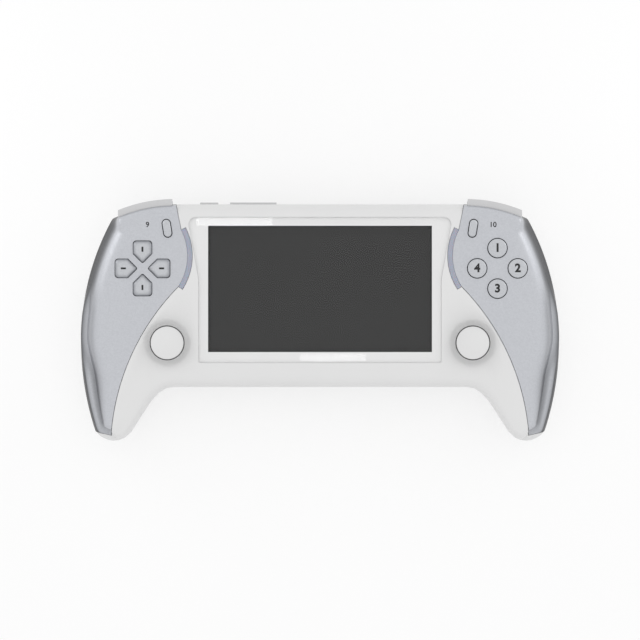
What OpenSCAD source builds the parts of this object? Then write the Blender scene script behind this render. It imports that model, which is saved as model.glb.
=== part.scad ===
// Handheld game console: a white bar with two horned grips, silver grip
// covers, a wide display, two thumbsticks and the controls of a game pad.
// It lies on the backs of its grips: +X to the right, +Y to the shoulder
// keys, +Z out of the display. The origin is under the middle of its box.

/* [Outline] */
// Width across the flanks of the two grips
body_w = 203.6; // [196:0.2:212]
// Height of the bar, from its top edge to its bottom edge
bar_h = 77.7; // [76:0.1:82]
// How far the horns of the grips reach below the bar
horn_drop = 22.9; // [18:0.1:27]
// Distance from the top edge down to the widest point of the flanks
flank_drop = 58.2; // [54:0.1:62]
// Radius of the flanks above their widest point
flank_r_up = 108; // [100:1:125]
// Radius of the flanks below their widest point
flank_r_low = 122; // [112:1:140]
// Distance from the middle to where the top edge starts to fall
brow_x = 61.8; // [60:0.1:64]
// Radius of the falling part of the top edge
brow_r = 61; // [56:1:70]
// Distance from the middle to the root of a horn's inner edge
horn_x = 68.3; // [66:0.1:70]
// Fall of a horn's inner edge for each millimetre outwards
horn_slope = 1.6; // [1.4:0.05:1.8]
// Distance from a flank in to the lowest point of its horn
horn_tip_in = 14.1; // [12:0.1:16]
// Radius of a horn's tip
horn_tip_r = 8.5; // [7:0.1:10]

/* [Depth] */
// Height of the front face above the surface that it lies on
front_z = 30; // [29:0.1:32]
// Height of the parting line between the front and rear shells
part_z = 19; // [18.6:0.1:19.6]
// Depth of the rear shell behind the bar
bar_depth = 9; // [8.6:0.1:9.6]
// Depth of the rear shell behind the grips, before their backs are cut flat
grip_depth = 20.6; // [20.2:0.1:21.4]
// Wall of the shells and the grip covers
wall = 2; // [1.8:0.1:2.2]
// Gap along the seams between the outer pieces
seam_gap = 0.15; // [0.1:0.05:0.25]

/* [Display] */
// Width of the lit area
lit_w = 95; // [90:0.5:97]
// Height of the lit area
lit_h = 53.6; // [50:0.1:55]
// Distance from the top edge to the middle of the lit area
lit_drop = 36; // [35:0.1:37]
// Width of the display module
display_w = 105.4; // [102:0.1:106]
// Height of the display module
display_h = 66; // [64:0.1:67]
// Thickness of the display module
display_t = 3; // [2.5:0.1:3.4]
// Width of the window along its bottom
window_w = 103; // [100:0.5:105]
// Width of the window along its top
window_top_w = 112.4; // [109:0.1:114]
// Border of the window above the lit area
window_border_top = 3.6; // [3:0.1:4]
// Border of the window below the lit area
window_border_low = 4.5; // [3.5:0.1:5]
// Thickness of the window
window_t = 1; // [0.8:0.1:1.1]

/* [Controls] */
// Distance from a flank in to the middle of its button group
pad_in = 26.5; // [25.5:0.1:27.5]
// Distance from the top edge to the middle of the button groups
pad_drop = 27.3; // [26.5:0.1:28]
// Width of a direction key
dpad_key_w = 8; // [7:0.1:8.6]
// Reach of the direction keys from the middle of their group
dpad_reach = 11.7; // [11:0.1:12]
// Distance from the middle of the group to a direction key's point
dpad_point = 2.2; // [1.9:0.1:2.8]
// Diameter of a round button
button_d = 8.2; // [7:0.1:8.6]
// Distance from the middle of the group to each round button
button_ring = 8.6; // [8.2:0.1:9]
// Width of the menu keys
menu_w = 3.5; // [3:0.1:4]
// Length of the menu keys
menu_l = 7.6; // [6.5:0.1:8]
// Lean of the menu keys
menu_lean = 9; // [0:1:15]
// Height of the keys above the front face
key_proud = 1.6; // [1.2:0.1:2]
// Gap between a key and the edge of its window
key_gap = 0.25; // [0.2:0.05:0.35]
// Travel of the keys
key_travel = 1.2; // [0.8:0.1:1.4]

/* [Thumbsticks] */
// Distance from the middle to each thumbstick
stick_x = 64.8; // [64:0.1:66]
// Distance from the bottom edge of the bar up to the thumbsticks
stick_up = 18.8; // [18:0.1:20]
// Diameter of a thumbstick's cap
cap_d = 14.8; // [13:0.1:15.2]
// Height of a cap's rim above the front face
cap_lift = 2.4; // [2.2:0.1:3]
// Thickness of a cap at its middle
cap_t = 3; // [2.4:0.1:3.6]
// Height of a thumbstick's pivot above the surface that it lies on
pivot_z = 22; // [21.6:0.1:22.4]

/* [Shoulder keys] */
// How far the front shoulder keys stand out of the top edge
shoulder_proud = 2.2; // [1.6:0.1:2.6]
// How far the rear shoulder keys stand out of the top edge
trigger_proud = 1.4; // [1:0.1:2]
// Depth of the shoulder keys inside the top edge
shoulder_in = 4.6; // [4.2:0.1:5]
// Distance from the middle to the inner ends of the shoulder keys
shoulder_x = 62.8; // [62.4:0.1:63.6]
// Length of the shoulder keys along the top edge
shoulder_l = 23; // [21:0.1:23.6]
// Diameter of the hinge pins of the shoulder keys
pin_d = 2; // [1.6:0.1:2.2]

/* [Top edge] */
// Distance from the middle to the power key
power_x = 47.2; // [45.5:0.1:48.5]
// Length of the power key
power_l = 7.8; // [6:0.1:9]
// Distance from the middle to the volume key
volume_x = 28.4; // [27:0.1:30]
// Length of the volume key
volume_l = 19.8; // [16:0.1:22]
// How far the top keys stand out of the top edge
top_key_proud = 0.85; // [0.6:0.05:1]

/* [Sockets] */
// Diameter of the bore of the headphone socket
jack_bore_d = 3.6; // [3.5:0.05:3.7]
// Distance from the middle to the headphone socket
jack_x = 17; // [15:0.1:19]
// Width of the charging socket
usb_w = 9; // [8.9:0.1:9.4]
// Height of the charging socket
usb_h = 3.2; // [3.1:0.1:3.3]
// Width of the memory card slot
card_w = 11.6; // [11.2:0.1:12]
// Distance from the middle to the memory card slot
card_x = 17; // [15:0.1:19]

/* [Hidden] */
$fn = 64;

// Heights of the front edge lines, worked out so that the box is centred
half_w = body_w / 2;
y_top = (bar_h + horn_drop - shoulder_proud) / 2;
y_bar = y_top - bar_h;
y_tip = y_bar - horn_drop;
y_flank = y_top - flank_drop;
tip_x = half_w - horn_tip_in;
// Softness of the outline's corners
brow_corner = 2.5;
tip_corner = 1.5;
horn_fillet = 9;

// Front depth and the levels of the front form. Each row holds the share of
// the front depth, then the inset from the outline on a plain edge, on the
// upper flank, on the lower flank, where a lip and a crease run along it, and
// on the horn, where the lip is wider.
front_depth = front_z - part_z;
FRONT_LEVELS = [
    [0.00, 0.00, 0.0, 0.0, 0.0], [0.26, 0.00, 1.2, 0.0, 1.0], [0.34, 0.05, 1.6, 0.7, 2.6],
    [0.38, 0.10, 1.8, 1.7, 4.0], [0.41, 0.15, 2.0, 2.7, 5.2], [0.52, 0.30, 2.6, 3.2, 5.6],
    [0.67, 0.60, 3.5, 3.9, 6.1], [0.80, 1.20, 4.6, 5.0, 6.8], [0.91, 2.20, 6.1, 6.7, 7.9],
    [0.97, 3.40, 7.8, 8.7, 9.4], [1.00, 5.20, 9.8, 11.2, 11.4]
];
INNER_LEVELS = [
    [0.00, 0.00, 1.2, 2.7, 3.2], [0.48, 0.30, 2.8, 3.2, 5.0],
    [0.78, 0.80, 4.7, 5.0, 5.6], [1.00, 2.60, 5.2, 5.6, 6.2]
];
// Where the flank's levels take over from the plain edge, and where the lip fades out
flank_blend_in = 17;
flank_blend = 6;
lip_top_drop = 31;
lip_fade = 16;
// Where the lip widens towards the horn
horn_lip_drop = 55;
horn_lip_fade = 14;
// The levels draw together towards the tips of the horns
tip_squeeze = 0.6;
tip_squeeze_y = 26;

// Shape of the rear form: squareness of its sections and where the grips swell
bar_square = 6;
grip_square = 3.6;
end_square = 6;
swell_from = 44;
swell_to = 78;
ROW_ANGLES = [0, 2, 7, 16, 30, 50, 74];

// Stations across half of the width
bar_stations = 5;
grip_stations = 22;
station_split = 56;
station_end = 0.35;

// Seam of the grip covers, as distances from the middle and below the top edge
seam_top_x = 61.2;
strip_top = [58.9, 11];
strip_low = [60.1, 35];
strip_bow = 3.2;
strip_w = 2.1;
seam_tip = [88.7, 98.2];
seam_bow = 6.2;
cover_end_rise = 0.22;
cut_margin = 12;

// Stack of the wings, from the covers down
cover_under = front_z - wall;
flange_t = 1;
flange_w = 0.85;
flange_gap = 0.15;
ledge_gap = 0.1;
ledge_top = cover_under - ledge_gap;
ledge_t = 1.5;
ledge_w = 2.6;
ledge_root = 2;
ledge_lap = 0.4;
dome_top = 25.5;
sheet_t = 0.8;
board_t = 1.2;
board_top = 22.4;
sheet_top = board_top + sheet_t;
pad_x = half_w - pad_in;
pad_y = y_top - pad_drop;
menu_x = 64.9;
menu_drop = 10.3;
menu_y = y_top - menu_drop;
dpad_r = 1.5;
point_r = 0.8;
dome_r = 3.3;
dome_neck_r = 2.3;
dome_wall = 0.7;
stem_r = 2.1;
key_crown_r = 20;
post_r = 2.1;
pilot_r = 0.8;
// Posts that carry a button board under its cover, from the middle of the group
BOARD_POSTS = [[-11.5, 8.2], [9.5, 10.3], [8, -13.5]];

// Stack of the bar, from the window down
mask_t = 0.2;
window_under = front_z - window_t;
pocket_z = window_under - mask_t;
y_lit = y_top - lit_drop;
window_knee = 26;
window_r = 3;
knee_r = 14;
foot_r = 1;
panel_t = 1.2;
panel_z = cover_under - panel_t;
backlight_z = cover_under - display_t;
display_low = 8.4;
rib_t = 1.2;
rib_short = 0.4;
fit_gap = 0.2;
main_top = 15.2;
main_bottom = main_top - board_t;
main_half_w = 74;
main_high = y_top - 6.4;
main_rise = 9;
main_low = y_bar + main_rise;
upper_half_w = 53;
tongue_half_w = 27;
tongue_low = y_bar + wall + 1.3;
battery_w = 78;
battery_h = 46;
battery_t = 6.6;

// Thumbstick, from its pivot
y_stick = y_bar + stick_up;
main_step = y_stick + 9;
ball_r = 7.4;
ball_t = 1;
ball_cover = 68;
neck_r = 2.7;
stick_hole_r = 6.6;
dish_r = 10.4;
dish_depth = 1.3;
dish_floor_r = 7.8;
collar_t = 2;
collar_w = 0.6;
ear_in = 4.5;
ear_t = 1.1;
ear_w = 3.2;
ear_rise = 1.5;
base_w = 14;
base_top = pivot_z - 2.8;
yoke_r = 4.1;
yoke_bore_r = 2.6;
yoke_t = 2.2;
trunnion_r = 0.8;
cross_pin_r = 0.7;
shaft_r = 1.5;
run_gap = 0.04;
stick_tilt = 12;

// Shoulder keys
shoulder_z = [part_z + 1.6, cover_under - 0.6];
trigger_z = [part_z - 8.4, part_z - 0.4];
hinge_x = shoulder_x + 2;
hinge_y = y_top - 3.4;
eye_r = 2.2;
shoulder_gap = 0.3;
shoulder_turn = 4;
switch_w = 6;
switch_h = 3.4;
switch_l = 3.2;
plunger_r = 1.1;
plunger_root = 0.4;
switch_gap = 0.2;
switch_clear = 8;
switch_in = 16;

// Top keys
top_key_z = 16.9;
top_key_h = 2.4;
top_key_in = 3.2;
top_flange = 0.8;
volume_flange = 0.5;
volume_pin_r = 0.8;
volume_pin_in = top_key_in + 0.4;
volume_hub_r = 1.9;
volume_switch_out = 6.4;
top_switch = [5.2, 3.6, 3.2];
top_switch_in = 0.2;
top_plunger_r = 0.8;
top_plunger_l = 2.9;
volume_turn = 2.5;
power_travel = 0.5;

// Screws
SCREWS = [[57.3, 6.2], [57.3, 72.5], [79.5, 85.2]];
screw_seat = 14;
screw_head_r = 1.8;
screw_head_h = 1.6;
screw_r = 0.9;
screw_end = 25.5;
tube_r = 2.5;
hole_gap = 0.2;
board_screw_l = 3.6;
small_head_r = 1.6;
small_head_h = 1.2;
small_screw_l = 5;
MAIN_SCREWS = [[41, main_high - 4], [50, main_low + 5]];

// Sockets and speakers
mouth_out = 3;
mouth_l = 9;
usb_l = 7.4;
jack_z = 16.2;
jack_w = 6;
jack_l = 12.5;
jack_h = 5;
jack_in = 1.6;
barrel_r = 2.4;
card_h = 1.8;
card_l = 15;
speaker_x = 40;
speaker_l = 20;
speaker_d = 5.4;
speaker_z = [14.9, 21.5];
slot_z = 16.6;
slot_h = 4;
speaker_slots = 6;
slot_w = 1.2;

// Colours
white = "#e3e3e3";
silver = "#c1c3c8";
lavender = "#a6abbc";
graphite = "#444444";
board_green = "#2f5d43";
steel = "#b8babd";
black = "#222222";
brass_yellow = "#c9b06a";

// Blends between two values
function lerp(a, b, t) = a + (b - a) * t;
function ramp(t) = let (u = min(max(t, 0), 1)) u * u * (3 - 2 * u);
function soft_min(a, b, k) = let (h = max(k - abs(a - b), 0) / k) min(a, b) - h * h * k / 4;
function soft_max(a, b, k) = -soft_min(-a, -b, k);

// The outline: the body's upper and lower edges at a distance from the middle
function flank_reach(r, x) = sqrt(max(0, r * r - pow(x - half_w + r, 2)));
function brow(x) = y_top - brow_r + sqrt(brow_r * brow_r - pow(max(x - brow_x, 0), 2));
function upper_edge(x) = soft_min(brow(x), y_flank + flank_reach(flank_r_up, x), brow_corner);
function horn_side(x) = y_bar - (x - horn_x) * horn_slope;
function horn_tip(x) = y_tip + pow(x - tip_x, 2) / (2 * horn_tip_r);
function horn_inner(x) = soft_min(y_bar, horn_side(x), horn_fillet);
function horn_edge(x) = soft_max(horn_inner(x), min(horn_tip(x), y_bar - horn_fillet / 2), tip_corner);
function lower_edge(x) = soft_max(horn_edge(x), y_flank - flank_reach(flank_r_low, x), tip_corner);

// Stations from the left flank to the right one, closer together at the flanks
function half_stations() = concat(
    [for (i = [1 : bar_stations]) station_split * i / bar_stations],
    [for (i = [1 : grip_stations])
        station_split + (half_w - station_split) * sin(90 * i / (grip_stations + station_end))]);
function stations() = let (h = half_stations(), n = len(h))
    concat([for (i = [n - 1 : -1 : 0]) -h[i]], [0], h);

// The outline as points: the top edge from left to right, then the bottom edge back
function outline() = let (s = stations(), n = len(s)) concat(
    [for (x = s) [x, upper_edge(abs(x))]],
    [for (i = [n - 1 : -1 : 0]) [s[i], lower_edge(abs(s[i]))]]);
function inward(p) = let (n = len(p)) [for (i = [0 : n - 1])
    let (t = p[(i + 1) % n] - p[(i + n - 1) % n]) [t[1], -t[0]] / norm(t)];

// Inset of one level of the front form at an outline point
function level_inset(level, q) = let (
        upper = lerp(level[2], level[3], ramp((y_top - q[1] - lip_top_drop) / lip_fade)),
        flank = lerp(upper, level[4], ramp((y_top - q[1] - horn_lip_drop) / horn_lip_fade)),
        share = ramp((abs(q[0]) - half_w + flank_blend_in) / flank_blend),
        squeeze = lerp(1, tip_squeeze, level[0] * ramp((-tip_squeeze_y - q[1]) / horn_drop)))
    lerp(level[1], flank, share) * squeeze;

// A ring of the front form: its outline drawn in, at the height of the level
function front_ring(level, p, v, d) = let (z = part_z + level[0] * (front_depth - d))
    [for (i = [0 : len(p) - 1])
        let (q = p[i] + v[i] * (level_inset(level, p[i]) + d)) [q[0], q[1], z]];

// A ring of the rear form: for one row angle, all stations at one share of their depth
function swell(x) = ramp((abs(x) - swell_from) / (swell_to - swell_from));
function end_share(x) = pow(1 - pow(abs(x) / half_w, end_square), 1 / end_square);
function rear_depth(x) = lerp(bar_depth, grip_depth, swell(x)) * end_share(x);
function rear_row(s, p, d, angle) = let (n = len(s)) [for (i = [0 : 2 * n - 1]) let (
        k = i < n ? i : 2 * n - 1 - i,
        power = 2 / lerp(bar_square, grip_square, swell(s[k])),
        mid = (p[k] + p[2 * n - 1 - k]) / 2,
        q = mid + (p[i] - mid) * pow(cos(angle), power))
    [q[0], q[1], part_z - max(rear_depth(s[k]) - d, 0.4) * pow(sin(angle), power)]];

// Faces of a stack of rings of m points, and of the strip that closes its last ring
function side_faces(rings, m, from = 0) = [for (k = [0 : rings - 2], i = [0 : m - 1])
    let (a = from + k * m + i, b = from + k * m + (i + 1) % m) each [[a, a + m, b + m], [a, b + m, b]]];
function cap_faces(m, from) = [for (i = [0 : m / 2 - 2])
    let (a = from + i, b = from + m - 1 - i) each [[a, b, b - 1], [a, b - 1, a + 1]]];
function turned(faces) = [for (f = faces) [f[2], f[1], f[0]]];

// Faces of a flat ring, cut up into triangles one corner at a time
function turn(a, b, c) = (b[0] - a[0]) * (c[1] - a[1]) - (b[1] - a[1]) * (c[0] - a[0]);
function within(q, a, b, c) = min(turn(a, b, q), turn(b, c, q), turn(c, a, q)) >= 0;
function corner(ids, i) = let (n = len(ids)) [ids[(i + n - 1) % n], ids[i], ids[(i + 1) % n]];
function is_free(p, ids, c) = turn(p[c[0]], p[c[1]], p[c[2]]) > 0 && len([for (k = ids)
    if (k != c[0] && k != c[1] && k != c[2] && within(p[k], p[c[0]], p[c[1]], p[c[2]])) k]) == 0;
function free_corner(p, ids, i = 0) =
    i == len(ids) - 1 || is_free(p, ids, corner(ids, i)) ? i : free_corner(p, ids, i + 1);
function cut_up(p, ids) = len(ids) == 3 ? [ids] : let (i = free_corner(p, ids))
    concat([corner(ids, i)], cut_up(p, [for (k = [0 : len(ids) - 1]) if (k != i) ids[k]]));
function flat_faces(ring, from) = let (m = len(ring))
    [for (f = cut_up(ring, [for (i = [m - 1 : -1 : 0]) i])) f + [from, from, from]];
function joined(rings) = [for (r = rings) each r];

// A closed shell between an outer and an inner stack of rings, with flat or strip ends
module shell_between(outer, inner, flat, down) {
    m = len(outer[0]);
    a = len(outer);
    b = len(inner);
    outer_end = flat ? flat_faces(outer[a - 1], (a - 1) * m) : cap_faces(m, (a - 1) * m);
    inner_end = flat ? flat_faces(inner[b - 1], (a + b - 1) * m) : cap_faces(m, (a + b - 1) * m);
    rim = [for (i = [0 : m - 1]) let (j = (i + 1) % m)
        each [[i, j, a * m + j], [i, a * m + j, a * m + i]]];
    faces = concat(
        side_faces(a, m), outer_end, turned(side_faces(b, m, a * m)), turned(inner_end), rim);
    polyhedron(concat(joined(outer), joined(inner)), down ? faces : turned(faces));
}

// A closed solid inside one stack of rings
module solid_in(rings, down = false) {
    m = len(rings[0]);
    a = len(rings);
    faces = concat(side_faces(a, m), cap_faces(m, (a - 1) * m), turned(cap_faces(m, 0)));
    polyhedron(joined(rings), down ? faces : turned(faces));
}

// The whole front form and the whole rear form as hollow shells
module front_blank() {
    p = outline();
    v = inward(p);
    shell_between(
        [for (level = FRONT_LEVELS) front_ring(level, p, v, 0)],
        [for (level = INNER_LEVELS) front_ring(level, p, v, wall)], flat = true, down = false);
}
function rear_rings(d) = let (s = stations(), p = outline(), v = inward(p), q = p + v * d)
    [for (angle = ROW_ANGLES) rear_row(s, q, d, angle)];
module rear_blank() {
    difference() {
        shell_between(rear_rings(0), rear_rings(wall), flat = false, down = true);
        translate([-body_w, -body_w, -body_w]) cube([2 * body_w, 2 * body_w, body_w]);
    }
}

// An arc between two points that bows to the left of the way from one to the other
function bow_arc(a, b, bow, steps, out = 0) = let (
        c = norm(b - a), u = (b - a) / c, h = abs(bow),
        r = (c * c / 4 + h * h) / (2 * h), half = asin(c / 2 / r),
        w = sign(bow) * [-u[1], u[0]], o = (a + b) / 2 - w * (r - h))
    [for (i = [0 : steps]) let (t = half * (2 * i / steps - 1)) o + (r + out) * (w * cos(t) + u * sin(t))];

// Corners of a polygon rounded with one radius each
function rounded(p, r, steps = 4) = let (n = len(p)) [for (i = [0 : n - 1]) let (
        a = p[(i + n - 1) % n] - p[i], b = p[(i + 1) % n] - p[i],
        u = a / norm(a), w = b / norm(b), half = acos(u * w) / 2,
        o = p[i] + (u + w) / norm(u + w) * r[i] / sin(half),
        from = p[i] + u * r[i] / tan(half) - o, to = p[i] + w * r[i] / tan(half) - o)
    each [for (k = [0 : steps]) let (d = lerp(from, to, k / steps)) o + d / norm(d) * r[i]]];

// Plan of a grip cover and of its light strip, on the right
function below(q) = [q[0], y_top - q[1]];
function strip_edge(out) = bow_arc(below(strip_top), below(strip_low), -strip_bow, 10, out);
function cover_points() = let (e = below(seam_tip), x = half_w + cut_margin) concat(
    [[seam_top_x, y_top + cut_margin], [seam_top_x, y_top]], strip_edge(0),
    bow_arc(below(strip_low), e, seam_bow, 16),
    [[x, e[1] + (x - e[0]) * cover_end_rise], [x, y_top + cut_margin]]);
module cover_plan() { polygon(cover_points()); }
module strip_plan() {
    out = strip_edge(strip_w);
    polygon(concat(strip_edge(0), [for (i = [len(out) - 1 : -1 : 0]) out[i]]));
}
module wing_plan() {
    cover_plan();
    strip_plan();
}

// Placing on one side or on both
module on_side(left) {
    if (left) mirror([1, 0, 0]) children();
    else children();
}
module on_both() {
    children();
    mirror([1, 0, 0]) children();
}
module between_z(low, high) { translate([0, 0, low]) linear_extrude(high - low) children(); }

// Outlines of the keys, grown by a margin
function dpad_shape(g) = let (w = dpad_key_w / 2 + g, tip = dpad_point - g * sqrt(2))
    rounded([[0, tip], [w, tip + w], [w, dpad_reach + g], [-w, dpad_reach + g], [-w, tip + w]],
        [point_r, point_r, dpad_r, dpad_r, point_r]);
module pill(w, l) {
    square([w, l - w], center = true);
    for (s = [-1, 1]) translate([0, s * (l - w) / 2]) circle(d = w);
}
module at_dpad(turn) { translate([pad_x, pad_y]) rotate(turn) children(); }
module at_button(turn) { translate([pad_x, pad_y]) rotate(turn) translate([0, button_ring]) children(); }
module at_menu() { translate([menu_x, menu_y]) rotate(-menu_lean) children(); }
module at_board_posts() { for (q = BOARD_POSTS) translate([pad_x + q[0], pad_y + q[1]]) children(); }
module at_case_screws() { on_both() for (q = SCREWS) translate([q[0], y_top - q[1]]) children(); }
module at_main_screws() { on_both() for (q = MAIN_SCREWS) translate(q) children(); }

// Room for the shoulder keys in the top edge, on the right
module shoulder_plan(proud, gap) {
    intersection() {
        translate([brow_x, y_top - brow_r]) difference() {
            circle(brow_r + proud);
            circle(brow_r - shoulder_in - gap);
        }
        translate([shoulder_x - gap, 0]) square([shoulder_l + 2 * gap, body_w]);
    }
}
module shoulder_room() {
    between_z(trigger_z[0] - shoulder_gap, shoulder_z[1] + shoulder_gap) {
        shoulder_plan(cut_margin, shoulder_gap + 0.2);
        translate([hinge_x, hinge_y]) {
            rotate(-shoulder_turn) translate([-hinge_x, -hinge_y]) shoulder_plan(0, shoulder_gap);
            circle(eye_r + shoulder_gap);
        }
    }
}

// Front shell: the white front of the bar and of the horns' inner sides
module front_shell() {
    color(white) difference() {
        union() {
            difference() {
                front_blank();
                on_both() between_z(part_z - 1, front_z + 1) offset(delta = seam_gap) wing_plan();
            }
            on_both() front_ledge();
            difference() {
                front_bosses();
                on_both() between_z(ledge_top, front_z + 1) offset(delta = seam_gap) wing_plan();
            }
        }
        between_z(part_z, cover_under) display_plan(fit_gap);
        between_z(pocket_z, front_z + 1) window_plan(fit_gap / 2);
        between_z(part_z, front_z) lit_plan(1);
        on_both() translate([stick_x, y_stick, 0]) stick_opening();
        at_case_screws() translate([0, 0, part_z]) cylinder(r = screw_r + 0.05, h = screw_end + 0.5 - part_z);
        on_both() shoulder_room();
    }
}
// Stick collars, display frame and screw tubes, rooted in the front wall
module front_bosses() {
    root = cover_under + wall / 2;
    on_both() translate([stick_x, y_stick, cover_under - collar_t])
        cylinder(r = dish_r + collar_w, h = root - cover_under + collar_t);
    between_z(backlight_z + rib_short, root) difference() {
        display_plan(fit_gap + rib_t);
        display_plan(fit_gap);
    }
    at_case_screws() translate([0, 0, part_z + ledge_gap]) cylinder(r = tube_r, h = root - part_z - ledge_gap);
}
// Ledge under a grip cover's edge, joined to the shell beside the seam
module front_ledge() {
    between_z(ledge_top - ledge_t, ledge_top) ledge_plan(-ledge_w);
    between_z(ledge_top - ledge_t, cover_under + ledge_lap) ledge_plan(seam_gap);
}
module ledge_plan(inner) {
    p = outline();
    v = inward(p);
    intersection() {
        difference() {
            offset(delta = ledge_root) wing_plan();
            offset(delta = inner) wing_plan();
        }
        polygon([for (i = [0 : len(p) - 1])
            p[i] + v[i] * (level_inset(INNER_LEVELS[len(INNER_LEVELS) - 1], p[i]) + wall + ledge_gap)]);
    }
}
module stick_opening() {
    cylinder(r = stick_hole_r, h = front_z + 1);
    translate([0, 0, front_z - dish_depth])
        cylinder(r1 = dish_floor_r, r2 = dish_r, h = dish_depth);
    translate([0, 0, front_z]) cylinder(r = dish_r, h = 1);
}

// Window, mask and display
function display_y() = y_lit - (display_low - (display_h - lit_h) / 2);
function window_top() = y_lit + lit_h / 2 + window_border_top;
function window_bottom() = y_lit - lit_h / 2 - window_border_low;
module window_plan(grow) {
    a = window_top_w / 2 + grow;
    b = window_w / 2 + grow;
    t = window_top() + grow;
    k = window_top() - window_knee;
    u = window_bottom() - grow;
    polygon(rounded([[a, t], [b, k], [b, u], [-b, u], [-b, k], [-a, t]],
        [window_r, knee_r, foot_r, foot_r, knee_r, window_r]));
}
module lit_plan(grow) { translate([0, y_lit]) square([lit_w + 2 * grow, lit_h + 2 * grow], center = true); }
module screen_window() { color([0.9, 0.92, 0.94, 0.4]) between_z(window_under, front_z) window_plan(0); }
module window_mask() {
    color(white) between_z(pocket_z, window_under) difference() {
        window_plan(0);
        lit_plan(0);
    }
}
module display_plan(grow) {
    translate([0, display_y()]) square([display_w + 2 * grow, display_h + 2 * grow], center = true);
}
module display_panel() { color(graphite) between_z(panel_z, cover_under) display_plan(0); }
module display_backlight() { color(steel) between_z(backlight_z, panel_z) display_plan(0); }

// Grip covers: the silver fronts of the grips, wrapped over their flanks
module cover_base() {
    difference() {
        union() {
            intersection() {
                front_blank();
                between_z(part_z - 1, front_z + 1) cover_plan();
            }
            at_board_posts() translate([0, 0, board_top])
                cylinder(r = post_r, h = cover_under + wall / 4 - board_top);
        }
        at_board_posts() translate([0, 0, board_top - 1]) cylinder(r = pilot_r + 0.05, h = 6);
        between_z(part_z, front_z + 1) at_menu() pill(menu_w + 2 * key_gap, menu_l + 2 * key_gap);
        shoulder_room();
        translate([hinge_x, hinge_y, part_z]) cylinder(d = pin_d + 0.04, h = cover_under + 0.85 - part_z);
    }
}
module left_grip_cover() {
    color(silver) on_side(true) difference() {
        cover_base();
        between_z(part_z, front_z + 1) for (turn = [0 : 90 : 270]) at_dpad(turn) polygon(dpad_shape(key_gap));
    }
}
module right_grip_cover() {
    color(silver) difference() {
        cover_base();
        for (turn = [0 : 90 : 270]) at_button(turn) translate([0, 0, part_z])
            cylinder(d = button_d + 2 * key_gap, h = front_depth + 1);
    }
}

// Light strips: translucent bars beside the covers' inner edges
module light_strip(left) {
    color(lavender) on_side(left) between_z(cover_under, front_z) offset(delta = -seam_gap) strip_plan();
}
module left_light_strip() { light_strip(true); }
module right_light_strip() { light_strip(false); }

// Button boards, membranes and the keys on them
BOARD_PLAN = [[-14.3, 20.4], [-6.3, 20.4], [11.2, 14.4], [13.2, -9.9], [11.5, -17.2], [-5, -17.2], [-14.3, -7.9]];
module board_plan(grow) {
    difference() {
        translate([pad_x, pad_y]) offset(delta = grow) polygon(BOARD_PLAN);
        at_board_posts() circle(grow < 0 ? post_r + 0.4 : pilot_r + 0.2);
    }
}
module button_board(left) {
    color(board_green) on_side(left) between_z(board_top - board_t, board_top) board_plan(0);
}
module left_button_board() { button_board(true); }
module right_button_board() { button_board(false); }
module dome(top) {
    translate([0, 0, sheet_top - sheet_t / 2])
        cylinder(r1 = dome_r, r2 = dome_neck_r, h = top - sheet_top + sheet_t / 2);
}
module dome_hollow(top) {
    translate([0, 0, board_top - 0.01])
        cylinder(r1 = dome_r - dome_wall, r2 = dome_neck_r - dome_wall, h = top - dome_wall - board_top);
}
module at_domes(left) {
    at_menu() children();
    for (turn = [0 : 90 : 270]) at_button(turn) children();
}
module membrane(left) {
    color("#d8d8d6") on_side(left) difference() {
        union() {
            between_z(board_top, sheet_top) board_plan(-0.8);
            at_domes(left) dome(dome_top);
        }
        at_domes(left) dome_hollow(dome_top);
        switch_room();
    }
}
module left_membrane() { membrane(true); }
module right_membrane() { membrane(false); }
module key_stack() {
    flange_top = cover_under - flange_gap;
    between_z(flange_top - flange_t, flange_top) children(0);
    intersection() {
        between_z(flange_top - flange_t, front_z + key_proud) children(1);
        children(2);
    }
    translate([0, 0, dome_top]) children(3);
}
module crown() { translate([0, 0, front_z + key_proud - key_crown_r]) sphere(key_crown_r, $fn = 96); }
module stem() { cylinder(r = stem_r, h = cover_under - dome_top - flange_gap); }
module dpad_key(turn) {
    color("#bebfc4") on_side(true) at_dpad(turn) key_stack() {
        polygon(dpad_shape(flange_w));
        polygon(dpad_shape(0));
        translate([0, button_ring - 1, 0]) crown();
        translate([0, button_ring, 0]) stem();
    }
}
module dpad_up_key() { dpad_key(0); }
module dpad_right_key() { dpad_key(90); }
module dpad_down_key() { dpad_key(180); }
module dpad_left_key() { dpad_key(270); }
module round_button(turn) {
    color("#c6c7cb") at_button(turn) key_stack() {
        circle(d = button_d + 2 * flange_w);
        circle(d = button_d);
        crown();
        stem();
    }
}
module top_button() { round_button(0); }
module right_button() { round_button(270); }
module bottom_button() { round_button(180); }
module left_button() { round_button(90); }
module menu_key(left) {
    color("#cfd0d4") on_side(left) at_menu() key_stack() {
        pill(menu_w + 2 * flange_w, menu_l + 2 * flange_w);
        pill(menu_w, menu_l);
        crown();
        stem();
    }
}
module select_key() { menu_key(true); }
module start_key() { menu_key(false); }

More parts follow.
